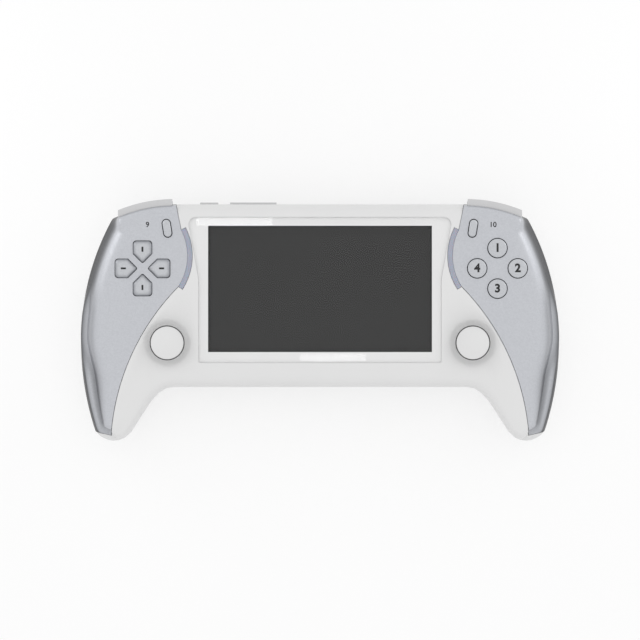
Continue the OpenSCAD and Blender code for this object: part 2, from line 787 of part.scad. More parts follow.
// Thumbstick: base with two ears, yoke, shaft with its cross pin, and cap
module at_stick(left) { on_side(left) translate([stick_x, y_stick, 0]) children(); }
module along_x(r, h) { rotate([0, 90, 0]) cylinder(r = r, h = h, center = true); }
module along_y(r, h) { rotate([90, 0, 0]) cylinder(r = r, h = h, center = true); }
module stick_base(left) {
    color(black) at_stick(left) difference() {
        union() {
            translate([-base_w / 2, -base_w / 2, main_top]) cube([base_w, base_w, base_top - main_top]);
            for (s = [-1, 1]) translate([s * (ear_in + ear_t / 2), 0, 0]) {
                translate([-ear_t / 2, -ear_w / 2, base_top - 0.5])
                    cube([ear_t, ear_w, pivot_z - base_top + 0.5]);
                translate([0, 0, pivot_z]) along_x(ear_w / 2, ear_t);
            }
        }
        translate([0, 0, pivot_z]) along_x(trunnion_r + run_gap, base_w);
        translate([0, 0, main_top + 1]) cylinder(r = shaft_r + 2, h = base_top);
    }
}
module left_stick_base() { stick_base(true); }
module right_stick_base() { stick_base(false); }
module stick_yoke(left) {
    color(steel) at_stick(left) translate([0, 0, pivot_z]) difference() {
        union() {
            cylinder(r = yoke_r, h = yoke_t, center = true);
            along_x(trunnion_r, 2 * (ear_in + ear_t));
        }
        cylinder(r = yoke_bore_r, h = base_w, center = true);
        along_y(cross_pin_r + run_gap, base_w);
    }
}
module left_stick_yoke() { stick_yoke(true); }
module right_stick_yoke() { stick_yoke(false); }
module stick_shaft(left) {
    color(steel) at_stick(left) translate([0, 0, pivot_z]) {
        translate([0, 0, -yoke_t / 2]) cylinder(r = shaft_r, h = front_z + cap_lift - pivot_z + yoke_t / 2 + 0.6);
        along_y(cross_pin_r, 2 * (yoke_r - 0.3));
    }
}
module left_stick_shaft() { stick_shaft(true); }
module right_stick_shaft() { stick_shaft(false); }
module stick_cap(left) {
    rim_z = front_z + cap_lift - pivot_z;
    color(white) at_stick(left) translate([0, 0, pivot_z]) difference() {
        union() {
            rotate_extrude() intersection() {
                difference() {
                    circle(ball_r);
                    circle(ball_r - ball_t);
                }
                polygon([[0, 0], [ball_r * 2, ball_r * 2 / tan(ball_cover)], [ball_r * 2, ball_r * 2], [0, ball_r * 2]]);
            }
            translate([0, 0, ball_r - ball_t]) cylinder(r = neck_r, h = rim_z - ball_r + ball_t + 0.5);
            cap_crown(rim_z);
        }
        translate([0, 0, 0]) cylinder(r = shaft_r + 0.02, h = rim_z + 0.7);
    }
}
cap_edge = 1.2;
module cap_crown(rim_z) {
    r = cap_d / 2;
    sag = cap_t - cap_edge;
    big = (r * r + sag * sag) / (2 * sag);
    intersection() {
        translate([0, 0, rim_z]) cylinder(r = r, h = cap_t);
        translate([0, 0, rim_z + cap_t - big]) sphere(big, $fn = 96);
    }
}
module left_stick_cap() { stick_cap(true); }
module right_stick_cap() { stick_cap(false); }

// Shoulder keys on a common pin at their inner ends
module shoulder_key(left, z, proud) {
    on_side(left) difference() {
        union() {
            between_z(z[0], z[1]) shoulder_plan(proud, 0);
            translate([hinge_x, hinge_y, z[0]]) cylinder(r = eye_r, h = z[1] - z[0]);
        }
        translate([hinge_x, hinge_y, 0]) cylinder(r = pin_d / 2 + run_gap, h = front_z);
    }
}
module left_shoulder_key() { color("#c8c8c8") shoulder_key(true, shoulder_z, shoulder_proud); }
module right_shoulder_key() { color("#c8c8c8") shoulder_key(false, shoulder_z, shoulder_proud); }
module left_trigger_key() { color("#c8c8c8") shoulder_key(true, trigger_z, trigger_proud); }
module right_trigger_key() { color("#c8c8c8") shoulder_key(false, trigger_z, trigger_proud); }
module shoulder_pin(left) {
    color(steel) on_side(left) translate([hinge_x, hinge_y, trigger_z[0] - 1.4])
        cylinder(d = pin_d, h = cover_under + 0.8 - trigger_z[0] + 1.4);
}
module left_shoulder_pin() { shoulder_pin(true); }
module right_shoulder_pin() { shoulder_pin(false); }

// Height of the inner side of a pressed shoulder key, with the gap that its switch keeps to it
function key_back(x) = let (u = x - brow_x + (shoulder_in + 1) * sin(shoulder_turn))
    y_top - brow_r + sqrt(pow(brow_r - shoulder_in, 2) - u * u) - (x - hinge_x) * tan(shoulder_turn) - switch_gap;
function plunger_y() = key_back(hinge_x + switch_in + plunger_r);
function switch_y() = key_back(hinge_x + switch_in + switch_w / 2);
module side_switch(low, high, z) {
    reach = plunger_y() - switch_y() + plunger_root;
    translate([hinge_x + switch_in - switch_w / 2, switch_y() - switch_l, low]) cube([switch_w, switch_l, high - low]);
    translate([hinge_x + switch_in, plunger_y() - reach / 2, z]) along_y(plunger_r, reach);
}
module switch_room() {
    translate([hinge_x + switch_in - switch_w / 2 - 0.4, switch_y() - switch_l - 0.4, board_top - 1])
        cube([switch_w + switch_clear, switch_l + switch_clear, switch_h + 2]);
}
module shoulder_switches(left) {
    color(black) on_side(left) {
        side_switch(board_top, board_top + switch_h, board_top + switch_h / 2);
        side_switch(board_top - board_t - 5.6, board_top - board_t, board_top - board_t - 4.2);
    }
}
module left_shoulder_switches() { shoulder_switches(true); }
module right_shoulder_switches() { shoulder_switches(false); }

// Keys in the top edge
module top_slot(x, l) {
    translate([-x - l / 2 - key_gap, y_top - wall - 0.6, top_key_z - top_key_h / 2 - key_gap])
        cube([l + 2 * key_gap, wall + 4, top_key_h + 2 * key_gap]);
}
module power_key() {
    color(white) translate([-power_x, y_top, top_key_z]) {
        translate([-power_l / 2, -top_key_in, -top_key_h / 2]) cube([power_l, top_key_in + top_key_proud, top_key_h]);
        translate([-power_l / 2 - 1, -top_key_in, -top_key_h / 2]) cube([power_l + 2, top_flange, top_key_h]);
    }
}
module volume_key() {
    color(white) translate([-volume_x, y_top, top_key_z]) difference() {
        union() {
            translate([-volume_l / 2, -top_key_in, -top_key_h / 2]) cube([volume_l, top_key_in + top_key_proud, top_key_h]);
            translate([-volume_l / 2 - 1, -top_key_in, -top_key_h / 2]) cube([volume_l + 2, volume_flange, top_key_h]);
            translate([0, -volume_pin_in, 0]) cylinder(r = volume_hub_r, h = top_key_h, center = true);
        }
        translate([0, -volume_pin_in, 0])
            cylinder(r = volume_pin_r + run_gap, h = 2 * top_key_h, center = true);
    }
}
module top_switches() {
    color(black) for (x = [power_x, volume_x - volume_switch_out, volume_x + volume_switch_out])
        translate([-x, main_high - top_switch_in, 0]) {
            translate([-top_switch[0] / 2, -top_switch[1], main_top]) cube(top_switch);
            translate([0, top_plunger_l / 2 - top_switch_in, top_key_z]) along_y(top_plunger_r, top_plunger_l);
        }
}

// Main board with the battery on it
module main_plan() {
    polygon([[-main_half_w, main_low], [-tongue_half_w, main_low], [-tongue_half_w, tongue_low],
        [tongue_half_w, tongue_low], [tongue_half_w, main_low], [main_half_w, main_low],
        [main_half_w, main_step], [upper_half_w, main_step], [upper_half_w, main_high],
        [-upper_half_w, main_high], [-upper_half_w, main_step], [-main_half_w, main_step]]);
}
module main_board() {
    color(board_green) between_z(main_bottom, main_top) difference() {
        main_plan();
        at_main_screws() circle(screw_r + hole_gap);
        translate([jack_x - jack_w / 2 - 0.2, tongue_low - 1]) square([jack_w + 0.4, jack_l]);
    }
}
module battery() {
    color("#3c3f46") translate([-battery_w / 2, y_lit - battery_h / 2, main_top])
        cube([battery_w, battery_h, battery_t]);
}

// Speakers and sockets behind the bottom edge
module speaker(left) {
    color(black) on_side(left) translate([speaker_x - speaker_l / 2, y_bar + wall + 0.4, speaker_z[0]])
        cube([speaker_l, speaker_d, speaker_z[1] - speaker_z[0]]);
}
module left_speaker() { speaker(true); }
module right_speaker() { speaker(false); }
module usb_plan(grow) { rotate(90) pill(usb_h + 2 * grow, usb_w + 2 * grow); }
module along_bottom(x, z) { translate([x, y_bar, z]) rotate([90, 0, 180]) children(); }
module charging_socket() {
    color(steel) along_bottom(0, main_top + usb_h / 2) {
        translate([0, 0, 0.3]) linear_extrude(usb_l) difference() {
            usb_plan(0);
            usb_plan(-0.3);
        }
        translate([0, 0, usb_l - 0.7]) linear_extrude(1) usb_plan(-0.1);
        translate([-3.3, -0.35, 1]) cube([6.6, 0.7, usb_l - 1]);
    }
}
module headphone_socket() {
    color(black) along_bottom(jack_x, jack_z) difference() {
        union() {
            translate([-jack_w / 2, -jack_h / 2, wall + jack_in]) cube([jack_w, jack_h, jack_l - wall - jack_in]);
            translate([0, 0, fit_gap]) cylinder(r = barrel_r, h = wall + jack_in);
            translate([-jack_w / 2 - 1.6, main_top - jack_z, 4]) cube([jack_w + 3.2, 1, 6]);
        }
        translate([0, 0, -1]) cylinder(d = jack_bore_d, h = jack_l);
    }
}
module card_socket() {
    color(steel) along_bottom(-card_x, main_top + card_h / 2) difference() {
        translate([-card_w / 2 - 0.6, -card_h / 2, wall + 0.4]) cube([card_w + 1.2, card_h, card_l]);
        translate([-card_w / 2, -card_h / 2 + 0.4, 0]) cube([card_w, card_h - 0.8, card_l + 1]);
    }
}

// Rear shell: the back of the bar and of both grips
module rear_shell() {
    color(white) difference() {
        union() {
            rear_blank();
            intersection() {
                solid_in(rear_rings(wall / 2), down = true);
                rear_posts();
            }
        }
        at_case_screws() {
            translate([0, 0, -1]) cylinder(r = screw_head_r + hole_gap, h = screw_seat + 1);
            cylinder(r = screw_r + hole_gap, h = part_z + 1);
        }
        at_main_screws() translate([0, 0, part_z - bar_depth + 1.4]) cylinder(r = screw_r + 0.05, h = main_top);
        on_both() shoulder_room();
        on_both() translate([hinge_x, hinge_y, trigger_z[0] - 1.4]) cylinder(d = pin_d + 0.04, h = front_z);
        top_slot(power_x, power_l);
        top_slot(volume_x, volume_l);
        along_bottom(0, main_top + usb_h / 2) translate([0, 0, -mouth_out]) linear_extrude(mouth_l) usb_plan(0.3);
        along_bottom(jack_x, jack_z) translate([0, 0, -mouth_out]) cylinder(r = barrel_r + 0.2, h = mouth_l);
        along_bottom(-card_x, main_top + card_h / 2) translate([0, 0, 2])
            cube([card_w + 0.6, 1.6, mouth_l], center = true);
        on_both() for (i = [0 : speaker_slots - 1])
            translate([speaker_x + (i - (speaker_slots - 1) / 2) * slot_w * 2, y_bar, slot_z])
                cube([slot_w, mouth_l, slot_h], center = true);
    }
}
module rear_posts() {
    at_case_screws() cylinder(r = tube_r, h = part_z);
    at_main_screws() cylinder(r = tube_r, h = main_bottom);
    on_both() translate([hinge_x, hinge_y, 0]) cylinder(r = pin_d, h = trigger_z[0] - 0.3);
    translate([-volume_x, y_top - volume_pin_in, 0]) cylinder(r = volume_pin_r, h = part_z - 0.3);
    on_both() for (s = [-1, 1]) translate([speaker_x + s * 8 - 0.8, y_bar + 1, 0]) cube([1.6, 8, speaker_z[0]]);
}

// Screws
module screw(low, high) {
    translate([0, 0, low - screw_head_h]) cylinder(r = screw_head_r, h = screw_head_h);
    translate([0, 0, low]) cylinder(r = screw_r, h = high - low);
}
module case_screws() { color(steel) at_case_screws() screw(screw_seat, screw_end); }
module board_screws() {
    color(steel) at_main_screws() mirror([0, 0, 1]) translate([0, 0, -main_top]) screw(0, board_screw_l);
}
module button_board_screws() {
    color(steel) on_both() at_board_posts() screw_small();
}
module screw_small() {
    translate([0, 0, board_top - board_t - small_head_h]) cylinder(r = small_head_r, h = small_head_h);
    translate([0, 0, board_top - board_t]) cylinder(r = pilot_r, h = small_screw_l);
}

front_shell();
rear_shell();
left_grip_cover();
right_grip_cover();
left_light_strip();
right_light_strip();
screen_window();
window_mask();
display_panel();
display_backlight();
main_board();
battery();
left_button_board();
right_button_board();
left_membrane();
right_membrane();
dpad_up_key();
dpad_right_key();
dpad_down_key();
dpad_left_key();
top_button();
right_button();
bottom_button();
left_button();
select_key();
start_key();
power_key();
volume_key();
left_shoulder_key();
right_shoulder_key();
left_trigger_key();
right_trigger_key();
left_shoulder_pin();
right_shoulder_pin();
left_shoulder_switches();
right_shoulder_switches();
left_stick_base();
right_stick_base();
left_stick_yoke();
right_stick_yoke();
left_stick_shaft();
right_stick_shaft();
left_stick_cap();
right_stick_cap();
left_speaker();
right_speaker();
charging_socket();
headphone_socket();
card_socket();
top_switches();
case_screws();
board_screws();
button_board_screws();
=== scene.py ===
import math

import bmesh
import bpy
from mathutils import Matrix, Vector


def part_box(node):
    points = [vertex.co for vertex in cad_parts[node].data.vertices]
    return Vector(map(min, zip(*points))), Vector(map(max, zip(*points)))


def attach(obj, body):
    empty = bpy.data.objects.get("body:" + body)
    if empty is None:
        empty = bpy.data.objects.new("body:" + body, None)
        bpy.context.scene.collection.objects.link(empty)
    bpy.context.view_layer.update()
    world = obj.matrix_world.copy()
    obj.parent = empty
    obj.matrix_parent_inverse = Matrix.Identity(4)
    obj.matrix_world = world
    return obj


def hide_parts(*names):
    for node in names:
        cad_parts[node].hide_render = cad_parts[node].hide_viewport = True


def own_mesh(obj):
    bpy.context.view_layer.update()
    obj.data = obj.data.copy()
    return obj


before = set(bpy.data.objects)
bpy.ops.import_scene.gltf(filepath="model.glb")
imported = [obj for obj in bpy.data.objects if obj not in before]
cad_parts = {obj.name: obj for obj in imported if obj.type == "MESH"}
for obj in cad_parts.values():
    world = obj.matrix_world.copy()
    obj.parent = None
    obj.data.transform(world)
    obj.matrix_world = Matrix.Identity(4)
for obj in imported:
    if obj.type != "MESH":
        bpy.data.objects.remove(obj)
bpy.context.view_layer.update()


# Rear shell: the white back of the bar and of both grips in one moulding.
# Moulded ABS with a fine spark-eroded texture. Six screws pull it to the front
# shell, and the sockets, speakers and top keys open through its edges.
mm = 0.001
sharp_edge = math.radians(35)


def colour(code):
    """A hex colour as linear red, green, blue and alpha."""
    parts = [int(code[i:i + 2], 16) / 255 for i in (1, 3, 5)]
    return [c / 12.92 if c <= 0.04045 else ((c + 0.055) / 1.055) ** 2.4 for c in parts] + [1]


def feed(tree, node, inputs):
    """Gives a node's inputs their plain values, or links them to other nodes' outputs."""
    for name, value in inputs.items():
        if isinstance(value, bpy.types.NodeSocket):
            tree.links.new(value, node.inputs[name])
        else:
            node.inputs[name].default_value = value


def add(tree, kind, inputs, **settings):
    """A new node with its settings and its inputs."""
    node = tree.nodes.new(kind)
    for name, value in settings.items():
        setattr(node, name, value)
    feed(tree, node, inputs)
    return node


def finish(name, sockets):
    """A new material with its node tree, its shader and its Object coordinates."""
    made = bpy.data.materials.new(name)
    made.use_nodes = True
    shader = made.node_tree.nodes["Principled BSDF"]
    feed(made.node_tree, shader, sockets)
    place = add(made.node_tree, "ShaderNodeTexCoord", {}).outputs["Object"]
    return made, made.node_tree, shader, place


def mottled(name, sockets, size, detail, dark, light):
    """A finish whose colour drifts between two tones, in clouds of a size in millimetres."""
    made, tree, shader, place = finish(name, sockets)
    cloud = add(tree, "ShaderNodeTexNoise", {"Vector": place, "Scale": 1 / (size * mm), "Detail": detail})
    tint = add(tree, "ShaderNodeMix", {
        "Factor": cloud.outputs["Fac"], "A": colour(dark), "B": colour(light)}, data_type="RGBA")
    feed(tree, shader, {"Base Color": tint.outputs["Result"]})
    return made, tree, shader, cloud


def piece(name, points, faces):
    """An object from points in millimetres, smooth apart from its sharp edges."""
    mesh = bpy.data.meshes.new(name)
    mesh.from_pydata([Vector(q) * mm for q in points], [], faces)
    mesh.shade_smooth()
    mesh.set_sharp_from_angle(angle=sharp_edge)
    made = bpy.data.objects.new(name, mesh)
    bpy.context.scene.collection.objects.link(made)
    return made


def smooth_copy(name, node):
    """A copy of a CAD node with its triangles joined up and its facets smoothed."""
    work = bmesh.new()
    work.from_mesh(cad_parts[node].data)
    bmesh.ops.remove_doubles(work, verts=work.verts, dist=0.002 * mm)
    bmesh.ops.dissolve_limit(work, angle_limit=math.radians(0.1), verts=work.verts, edges=work.edges)
    work.verts.index_update()
    points = [q.co / mm for q in work.verts]
    faces = [[q.index for q in f.verts] for f in work.faces]
    work.free()
    return piece(name, points, faces)


def fit(made, material, body, slot, *nodes):
    """Gives a piece its material, and says what it rides on and which nodes it stands for."""
    made.data.materials.clear()
    made.data.materials.append(material)
    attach(made, body)
    if nodes:
        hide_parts(*nodes)


# Moulded white ABS: a soft satin white, with a grain of 0.3 mm from the mould
# that breaks up its highlights and a faint unevenness of the resin over 25 mm.
white_abs, tree, shader = mottled("moulded_white_abs", {"IOR": 1.53}, 25, 3, "#DBDBDB", "#DFDFDF")[:3]
place = add(tree, "ShaderNodeTexCoord", {}).outputs["Object"]
grain = add(tree, "ShaderNodeTexNoise", {"Vector": place, "Scale": 1 / (0.3 * mm), "Detail": 2})
gloss = add(tree, "ShaderNodeMapRange", {
    "Value": grain.outputs["Fac"], "To Min": 0.36, "To Max": 0.5})
relief = add(tree, "ShaderNodeBump", {
    "Height": grain.outputs["Fac"], "Strength": 0.12, "Distance": 0.03 * mm})
feed(tree, shader, {"Roughness": gloss.outputs["Result"], "Normal": relief.outputs["Normal"]})

back = smooth_copy("back_moulding", "rear_shell")
fit(back, white_abs, "case", "white_plastic", "rear_shell")


# Main board, button boards and what is soldered to them. Glass-fibre board in
# green lacquer over copper tracks, black moulded switches, bases and speakers.
def dress(material, *nodes):
    """Gives CAD nodes that keep their own shape a material."""
    for node in nodes:
        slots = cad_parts[node].data.materials
        slots.clear()
        slots.append(material)


# Lacquered board: a glossy green, with paler tracks every 8 mm and the weave of
# the glass showing through as a faint relief of 0.6 mm.
board, tree, shader, place = finish("lacquered_glass_fibre_board", {"Roughness": 0.35, "Coat Weight": 0.3})
tracks = add(tree, "ShaderNodeTexBrick", {
    "Vector": place, "Scale": 1 / (8 * mm), "Color1": colour("#2A5A3C"), "Color2": colour("#2F6444"),
    "Mortar": colour("#3F7B52"), "Mortar Size": 0.03})
feed(tree, shader, {"Base Color": tracks.outputs["Color"]})
weave = add(tree, "ShaderNodeTexNoise", {"Vector": place, "Scale": 1 / (0.6 * mm)})
relief = add(tree, "ShaderNodeBump", {
    "Height": weave.outputs["Fac"], "Strength": 0.1, "Distance": 0.05 * mm})
feed(tree, shader, {"Normal": relief.outputs["Normal"]})
dress(board, "main_board", "left_button_board", "right_button_board")

# Black glass-filled nylon: dull, nearly black, with a fine moulded grain.
black_nylon, tree, shader, grain = mottled("moulded_black_nylon", {
    "IOR": 1.53}, 0.4, 2, "#17181A", "#232426")
gloss = add(tree, "ShaderNodeMapRange", {"Value": grain.outputs["Fac"], "To Min": 0.45, "To Max": 0.65})
feed(tree, shader, {"Roughness": gloss.outputs["Result"]})
dress(black_nylon, "left_shoulder_switches", "right_shoulder_switches", "top_switches", "left_stick_base",
      "right_stick_base", "left_speaker", "right_speaker", "headphone_socket")

# Battery: a flat pouch cell in printed film, blue-grey with soft folds.
pouch, tree, shader, folds = mottled("battery_wrap_film", {
    "Roughness": 0.4}, 9, 4, "#39424C", "#47525E")
relief = add(tree, "ShaderNodeBump", {
    "Height": folds.outputs["Fac"], "Strength": 0.3, "Distance": 0.2 * mm})
feed(tree, shader, {"Normal": relief.outputs["Normal"]})
dress(pouch, "battery")

# Pressed and turned steel: the sockets' cans, yokes, shafts, pins and screws,
# nickel-plated, with fine drawing lines of 0.2 mm along the sheet.
nickel, tree, shader, place = finish("nickel_plated_steel", {"Metallic": 1})
stretch = add(tree, "ShaderNodeMapping", {"Vector": place, "Scale": (1, 0.05, 1)})
lines = add(tree, "ShaderNodeTexNoise", {"Vector": stretch.outputs["Vector"], "Scale": 1 / (0.2 * mm)})
gloss = add(tree, "ShaderNodeMapRange", {"Value": lines.outputs["Fac"], "To Min": 0.22, "To Max": 0.42})
tint = add(tree, "ShaderNodeMix", {
    "Factor": lines.outputs["Fac"], "A": colour("#B4B2AE"), "B": colour("#C6C5C2")}, data_type="RGBA")
feed(tree, shader, {"Base Color": tint.outputs["Result"], "Roughness": gloss.outputs["Result"]})
dress(nickel, "charging_socket", "card_socket", "left_shoulder_pin", "right_shoulder_pin", "left_stick_yoke",
      "right_stick_yoke", "left_stick_shaft", "right_stick_shaft", "display_backlight", "board_screws",
      "button_board_screws")


# Display: a dark panel in its tray, behind a mask printed white on the back of
# the clear window. The mask leaves the lit area free. The panel's face is a matt
# polariser film, an even neutral grey that clouds very faintly over 30 mm.
panel_glass = mottled("unlit_display_polariser", {
    "Roughness": 0.5, "Specular IOR Level": 0}, 30, 1, "#3B3B3B", "#3D3D3D")[0]
panel = smooth_copy("display_glass", "display_panel")
fit(panel, panel_glass, "case", "display", "display_panel")

# White screen-printed ink: flat, matt and opaque, with a fine mesh mark of 0.25 mm.
print_ink = mottled("white_screen_print", {"Roughness": 0.6}, 0.25, 2, "#E3E3E3", "#E6E6E6")[0]
mask = smooth_copy("window_print", "window_mask")
print_drop = 0.02
mask.data.transform(Matrix.Translation((0, 0, -print_drop * mm)))
fit(mask, print_ink, "case", "white_print", "window_mask")

# Clear acrylic: polished, nearly flat, with a faint waviness over 30 mm. Its coat
# against reflections lowers its IOR. Light on its way to the print passes straight
# through, so the print behind it stays white.
acrylic, tree, shader, place = finish("polished_clear_acrylic", {
    "Base Color": colour("#FCFCFC"), "IOR": 1.18, "Transmission Weight": 1})
waves = add(tree, "ShaderNodeTexNoise", {"Vector": place, "Scale": 1 / (30 * mm)})
gloss = add(tree, "ShaderNodeMapRange", {"Value": waves.outputs["Fac"], "To Min": 0.001, "To Max": 0.003})
feed(tree, shader, {"Roughness": gloss.outputs["Result"]})
rays = add(tree, "ShaderNodeLightPath", {})
passing = add(tree, "ShaderNodeMath", {
    0: rays.outputs["Is Shadow Ray"], 1: rays.outputs["Is Diffuse Ray"]}, operation="MAXIMUM")
clear = add(tree, "ShaderNodeBsdfTransparent", {})
both = add(tree, "ShaderNodeMixShader", {0: passing.outputs[0], 1: shader.outputs[0], 2: clear.outputs[0]})
feed(tree, tree.nodes["Material Output"], {"Surface": both.outputs[0]})


def round_edges(made, width, segments):
    """Rounds the edges of a piece with a bevel of a width in millimetres."""
    edge = made.modifiers.new("rounded_edge", "BEVEL")
    edge.width = width * mm
    edge.segments = segments
    edge.limit_method = "ANGLE"
    edge.angle_limit = math.radians(50)


window = smooth_copy("clear_window", "screen_window")
round_edges(window, 0.12, 2)
fit(window, acrylic, "case", "window_glass", "screen_window")


# Front shell: the white front of the bar and of the horns' inner sides, with
# the window's pocket and a shallow dish round each thumbstick.
# Moulded in the same ABS as the rear shell, with ledges that carry the covers.
front = smooth_copy("front_moulding", "front_shell")
fit(front, white_abs, "case", "white_plastic", "front_shell")


# Grip covers: the silver fronts of the grips, wrapped over their flanks with a
# lip and a crease. Moulded ABS sprayed with silver flake lacquer, and clipped on
# the ledges of the front shell. The form is lofted along the grip's outline.
half_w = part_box("right_grip_cover")[1].x / mm
y_top = 49.2
y_bar = -28.5
y_tip = -51.4
y_flank = -9.0
front_z = 30.0
part_z = 19.0
wall = 2.0
brow_r, brow_x = 61, 61.8
upper_flank_r, lower_flank_r = 108, 122
corner_blend, tip_blend = 0.6, 1.5
grip_x, grip_slope, grip_blend = 68.3, 1.6, 9
tip_in, tip_width, tip_drop = 14.1, 17, 4.5
crease_from, crease_over = 31, 16
tail_from, tail_over = 55, 20
flank_in, flank_over = 16.3, 4.5
squeeze_y, squeeze_over, tip_squeeze = -26, 22.9, 0.6

# Each row of these tables gives a share of the form's height, and how far the skin is
# drawn in there along the front edges, the upper flank, the crease and the tail.
LIP = [(0.00, 0.00, 0.0, 0.0, 0.0), (0.26, 0.00, 1.2, 0.0, 1.0), (0.34, 0.05, 1.6, 0.7, 2.6),
       (0.38, 0.10, 1.8, 1.7, 4.0), (0.41, 0.15, 2.0, 2.7, 5.2)]
FACE = [(0.41, 0.15, 2.0, 2.7, 5.2), (0.52, 0.22, 2.6, 3.2, 5.6), (0.67, 0.38, 3.5, 3.9, 6.1),
        (0.80, 0.65, 4.6, 5.0, 6.8), (0.91, 1.20, 6.1, 6.7, 7.9), (0.97, 2.00, 7.8, 8.7, 9.4),
        (1.00, 3.40, 9.8, 11.2, 11.4)]
INSIDE = [(0.00, 0.00, 1.2, 2.7, 3.2), (0.48, 0.30, 2.8, 3.2, 5.0),
          (0.78, 0.80, 4.7, 5.0, 5.6), (1.00, 2.60, 5.2, 5.6, 6.2)]


def lerp(a, b, t):
    """A value between a and b."""
    return a + (b - a) * t


def ramp(t):
    """A smooth rise from 0 to 1."""
    t = min(max(t, 0), 1)
    return t * t * (3 - 2 * t)


def soft_min(a, b, k):
    """The lesser of two values, rounded over where they cross."""
    h = max(k - abs(a - b), 0) / k
    return min(a, b) - h * h * k / 4


def soft_max(a, b, k):
    """The greater of two values, rounded over where they cross."""
    return -soft_min(-a, -b, k)


def flank_reach(r, x):
    """Half the height of a flank of radius r at x."""
    return math.sqrt(max(0, r * r - (x - half_w + r) ** 2))


def brow(x, drawn_in=0):
    """The arc over the right grip, or one inside or outside it."""
    return y_top - brow_r + math.sqrt((brow_r - drawn_in) ** 2 - max(x - brow_x, 0) ** 2)


def upper_edge(x):
    """Upper outline of the right grip."""
    return soft_min(brow(x), y_flank + flank_reach(upper_flank_r, x), corner_blend)


def lower_edge(x):
    """Lower outline of the right grip: the bar, the horn's inner side, its tip and the flank."""
    side = soft_min(y_bar, y_bar - (x - grip_x) * grip_slope, grip_blend)
    tip = min(y_tip + (x - half_w + tip_in) ** 2 / tip_width, y_bar - tip_drop)
    return soft_max(soft_max(side, tip, tip_blend), y_flank - flank_reach(lower_flank_r, x), tip_blend)


def between(rows, steps):
    """The rows of a table and smooth steps between them."""
    out = []
    for k in range(len(rows) - 1):
        near = [rows[min(max(i, 0), len(rows) - 1)] for i in range(k - 1, k + 3)]
        for t in (i / steps for i in range(steps)):
            out.append([max(0, b + (c - a) * t / 2 + (a - 2.5 * b + 2 * c - d / 2) * t * t
                            + (1.5 * b - a / 2 - 1.5 * c + d / 2) * t ** 3) for a, b, c, d in zip(*near)])
    return out + [list(rows[-1])]


def level_inset(level, q):
    """How far the skin is drawn in at a level of the form, at a point of its outline."""
    upper = lerp(level[2], level[3], ramp((y_top - q[1] - crease_from) / crease_over))
    flank = lerp(upper, level[4], ramp((y_top - q[1] - tail_from) / tail_over))
    share = ramp((abs(q[0]) - half_w + flank_in) / flank_over)
    squeeze = lerp(1, tip_squeeze, level[0] * ramp((squeeze_y - q[1]) / squeeze_over))
    return lerp(level[1], flank, share) * squeeze


def skin(rings):
    """Points and faces of a skin that runs from ring to ring, with flat ends."""
    count = len(rings[0])
    points = [q for ring in rings for q in ring]
    faces = [list(range(count))[::-1], list(range(len(points) - count, len(points)))]
    for k in range(0, len(points) - count, count):
        for i in range(count):
            j = (i + 1) % count
            faces.append([k + i, k + j, k + count + j, k + count + i])
    return points, faces


def prism(plan, low, high):
    """A straight solid over a plan, used as a cutting tool."""
    return piece("tool", *skin([[(x, y, z) for x, y in plan] for z in (low, high)]))


def evaluated(made):
    """The plain mesh that an object comes to with its modifiers."""
    graph = bpy.context.evaluated_depsgraph_get()
    return bpy.data.meshes.new_from_object(made.evaluated_get(graph))


def cut(made, tools, operation="DIFFERENCE"):
    """Cuts a piece with each tool, or keeps what lies inside it, and takes the tool away."""
    for tool in tools:
        step = made.modifiers.new("cut", "BOOLEAN")
        step.operation = operation
        step.solver = "EXACT"
        step.object = tool
        mesh = evaluated(made)
        made.modifiers.clear()
        made.data = mesh
        bpy.data.objects.remove(tool)


def bow_arc(a, b, bow, steps, out):
    """Points along an arc from a to b that bows to the left of the way, moved out from it."""
    a, b = Vector(a), Vector(b)
    run, h = (b - a).length, abs(bow)
    u = (b - a) / run
    r = (run * run / 4 + h * h) / (2 * h)
    w = Vector((-u.y, u.x)) * math.copysign(1, bow)
    o = (a + b) / 2 - w * (r - h)
    half = math.asin(run / 2 / r)
    turns = [half * (2 * i / steps - 1) for i in range(steps + 1)]
    return [tuple(o + (r + out) * (w * math.cos(t) + u * math.sin(t))) for t in turns]


def rounded(corners, radii):
    """A polygon with each corner rounded to its radius."""
    out, steps = [], 6
    for i, r in enumerate(radii):
        p, a, b = (Vector(corners[k % len(corners)]) for k in (i, i - 1, i + 1))
        u, w = (a - p).normalized(), (b - p).normalized()
        half = u.angle(w) / 2
        o = p + (u + w).normalized() * r / math.sin(half)
        start, end = p + u * r / math.tan(half) - o, p + w * r / math.tan(half) - o
        out += [tuple(o + start.lerp(end, k / steps).normalized() * r) for k in range(steps + 1)]
    return out


def circle(x, y, r):
    """A round outline."""
    turns = [2 * math.pi * i / 64 for i in range(64)]
    return [(x + r * math.cos(t), y + r * math.sin(t)) for t in turns]


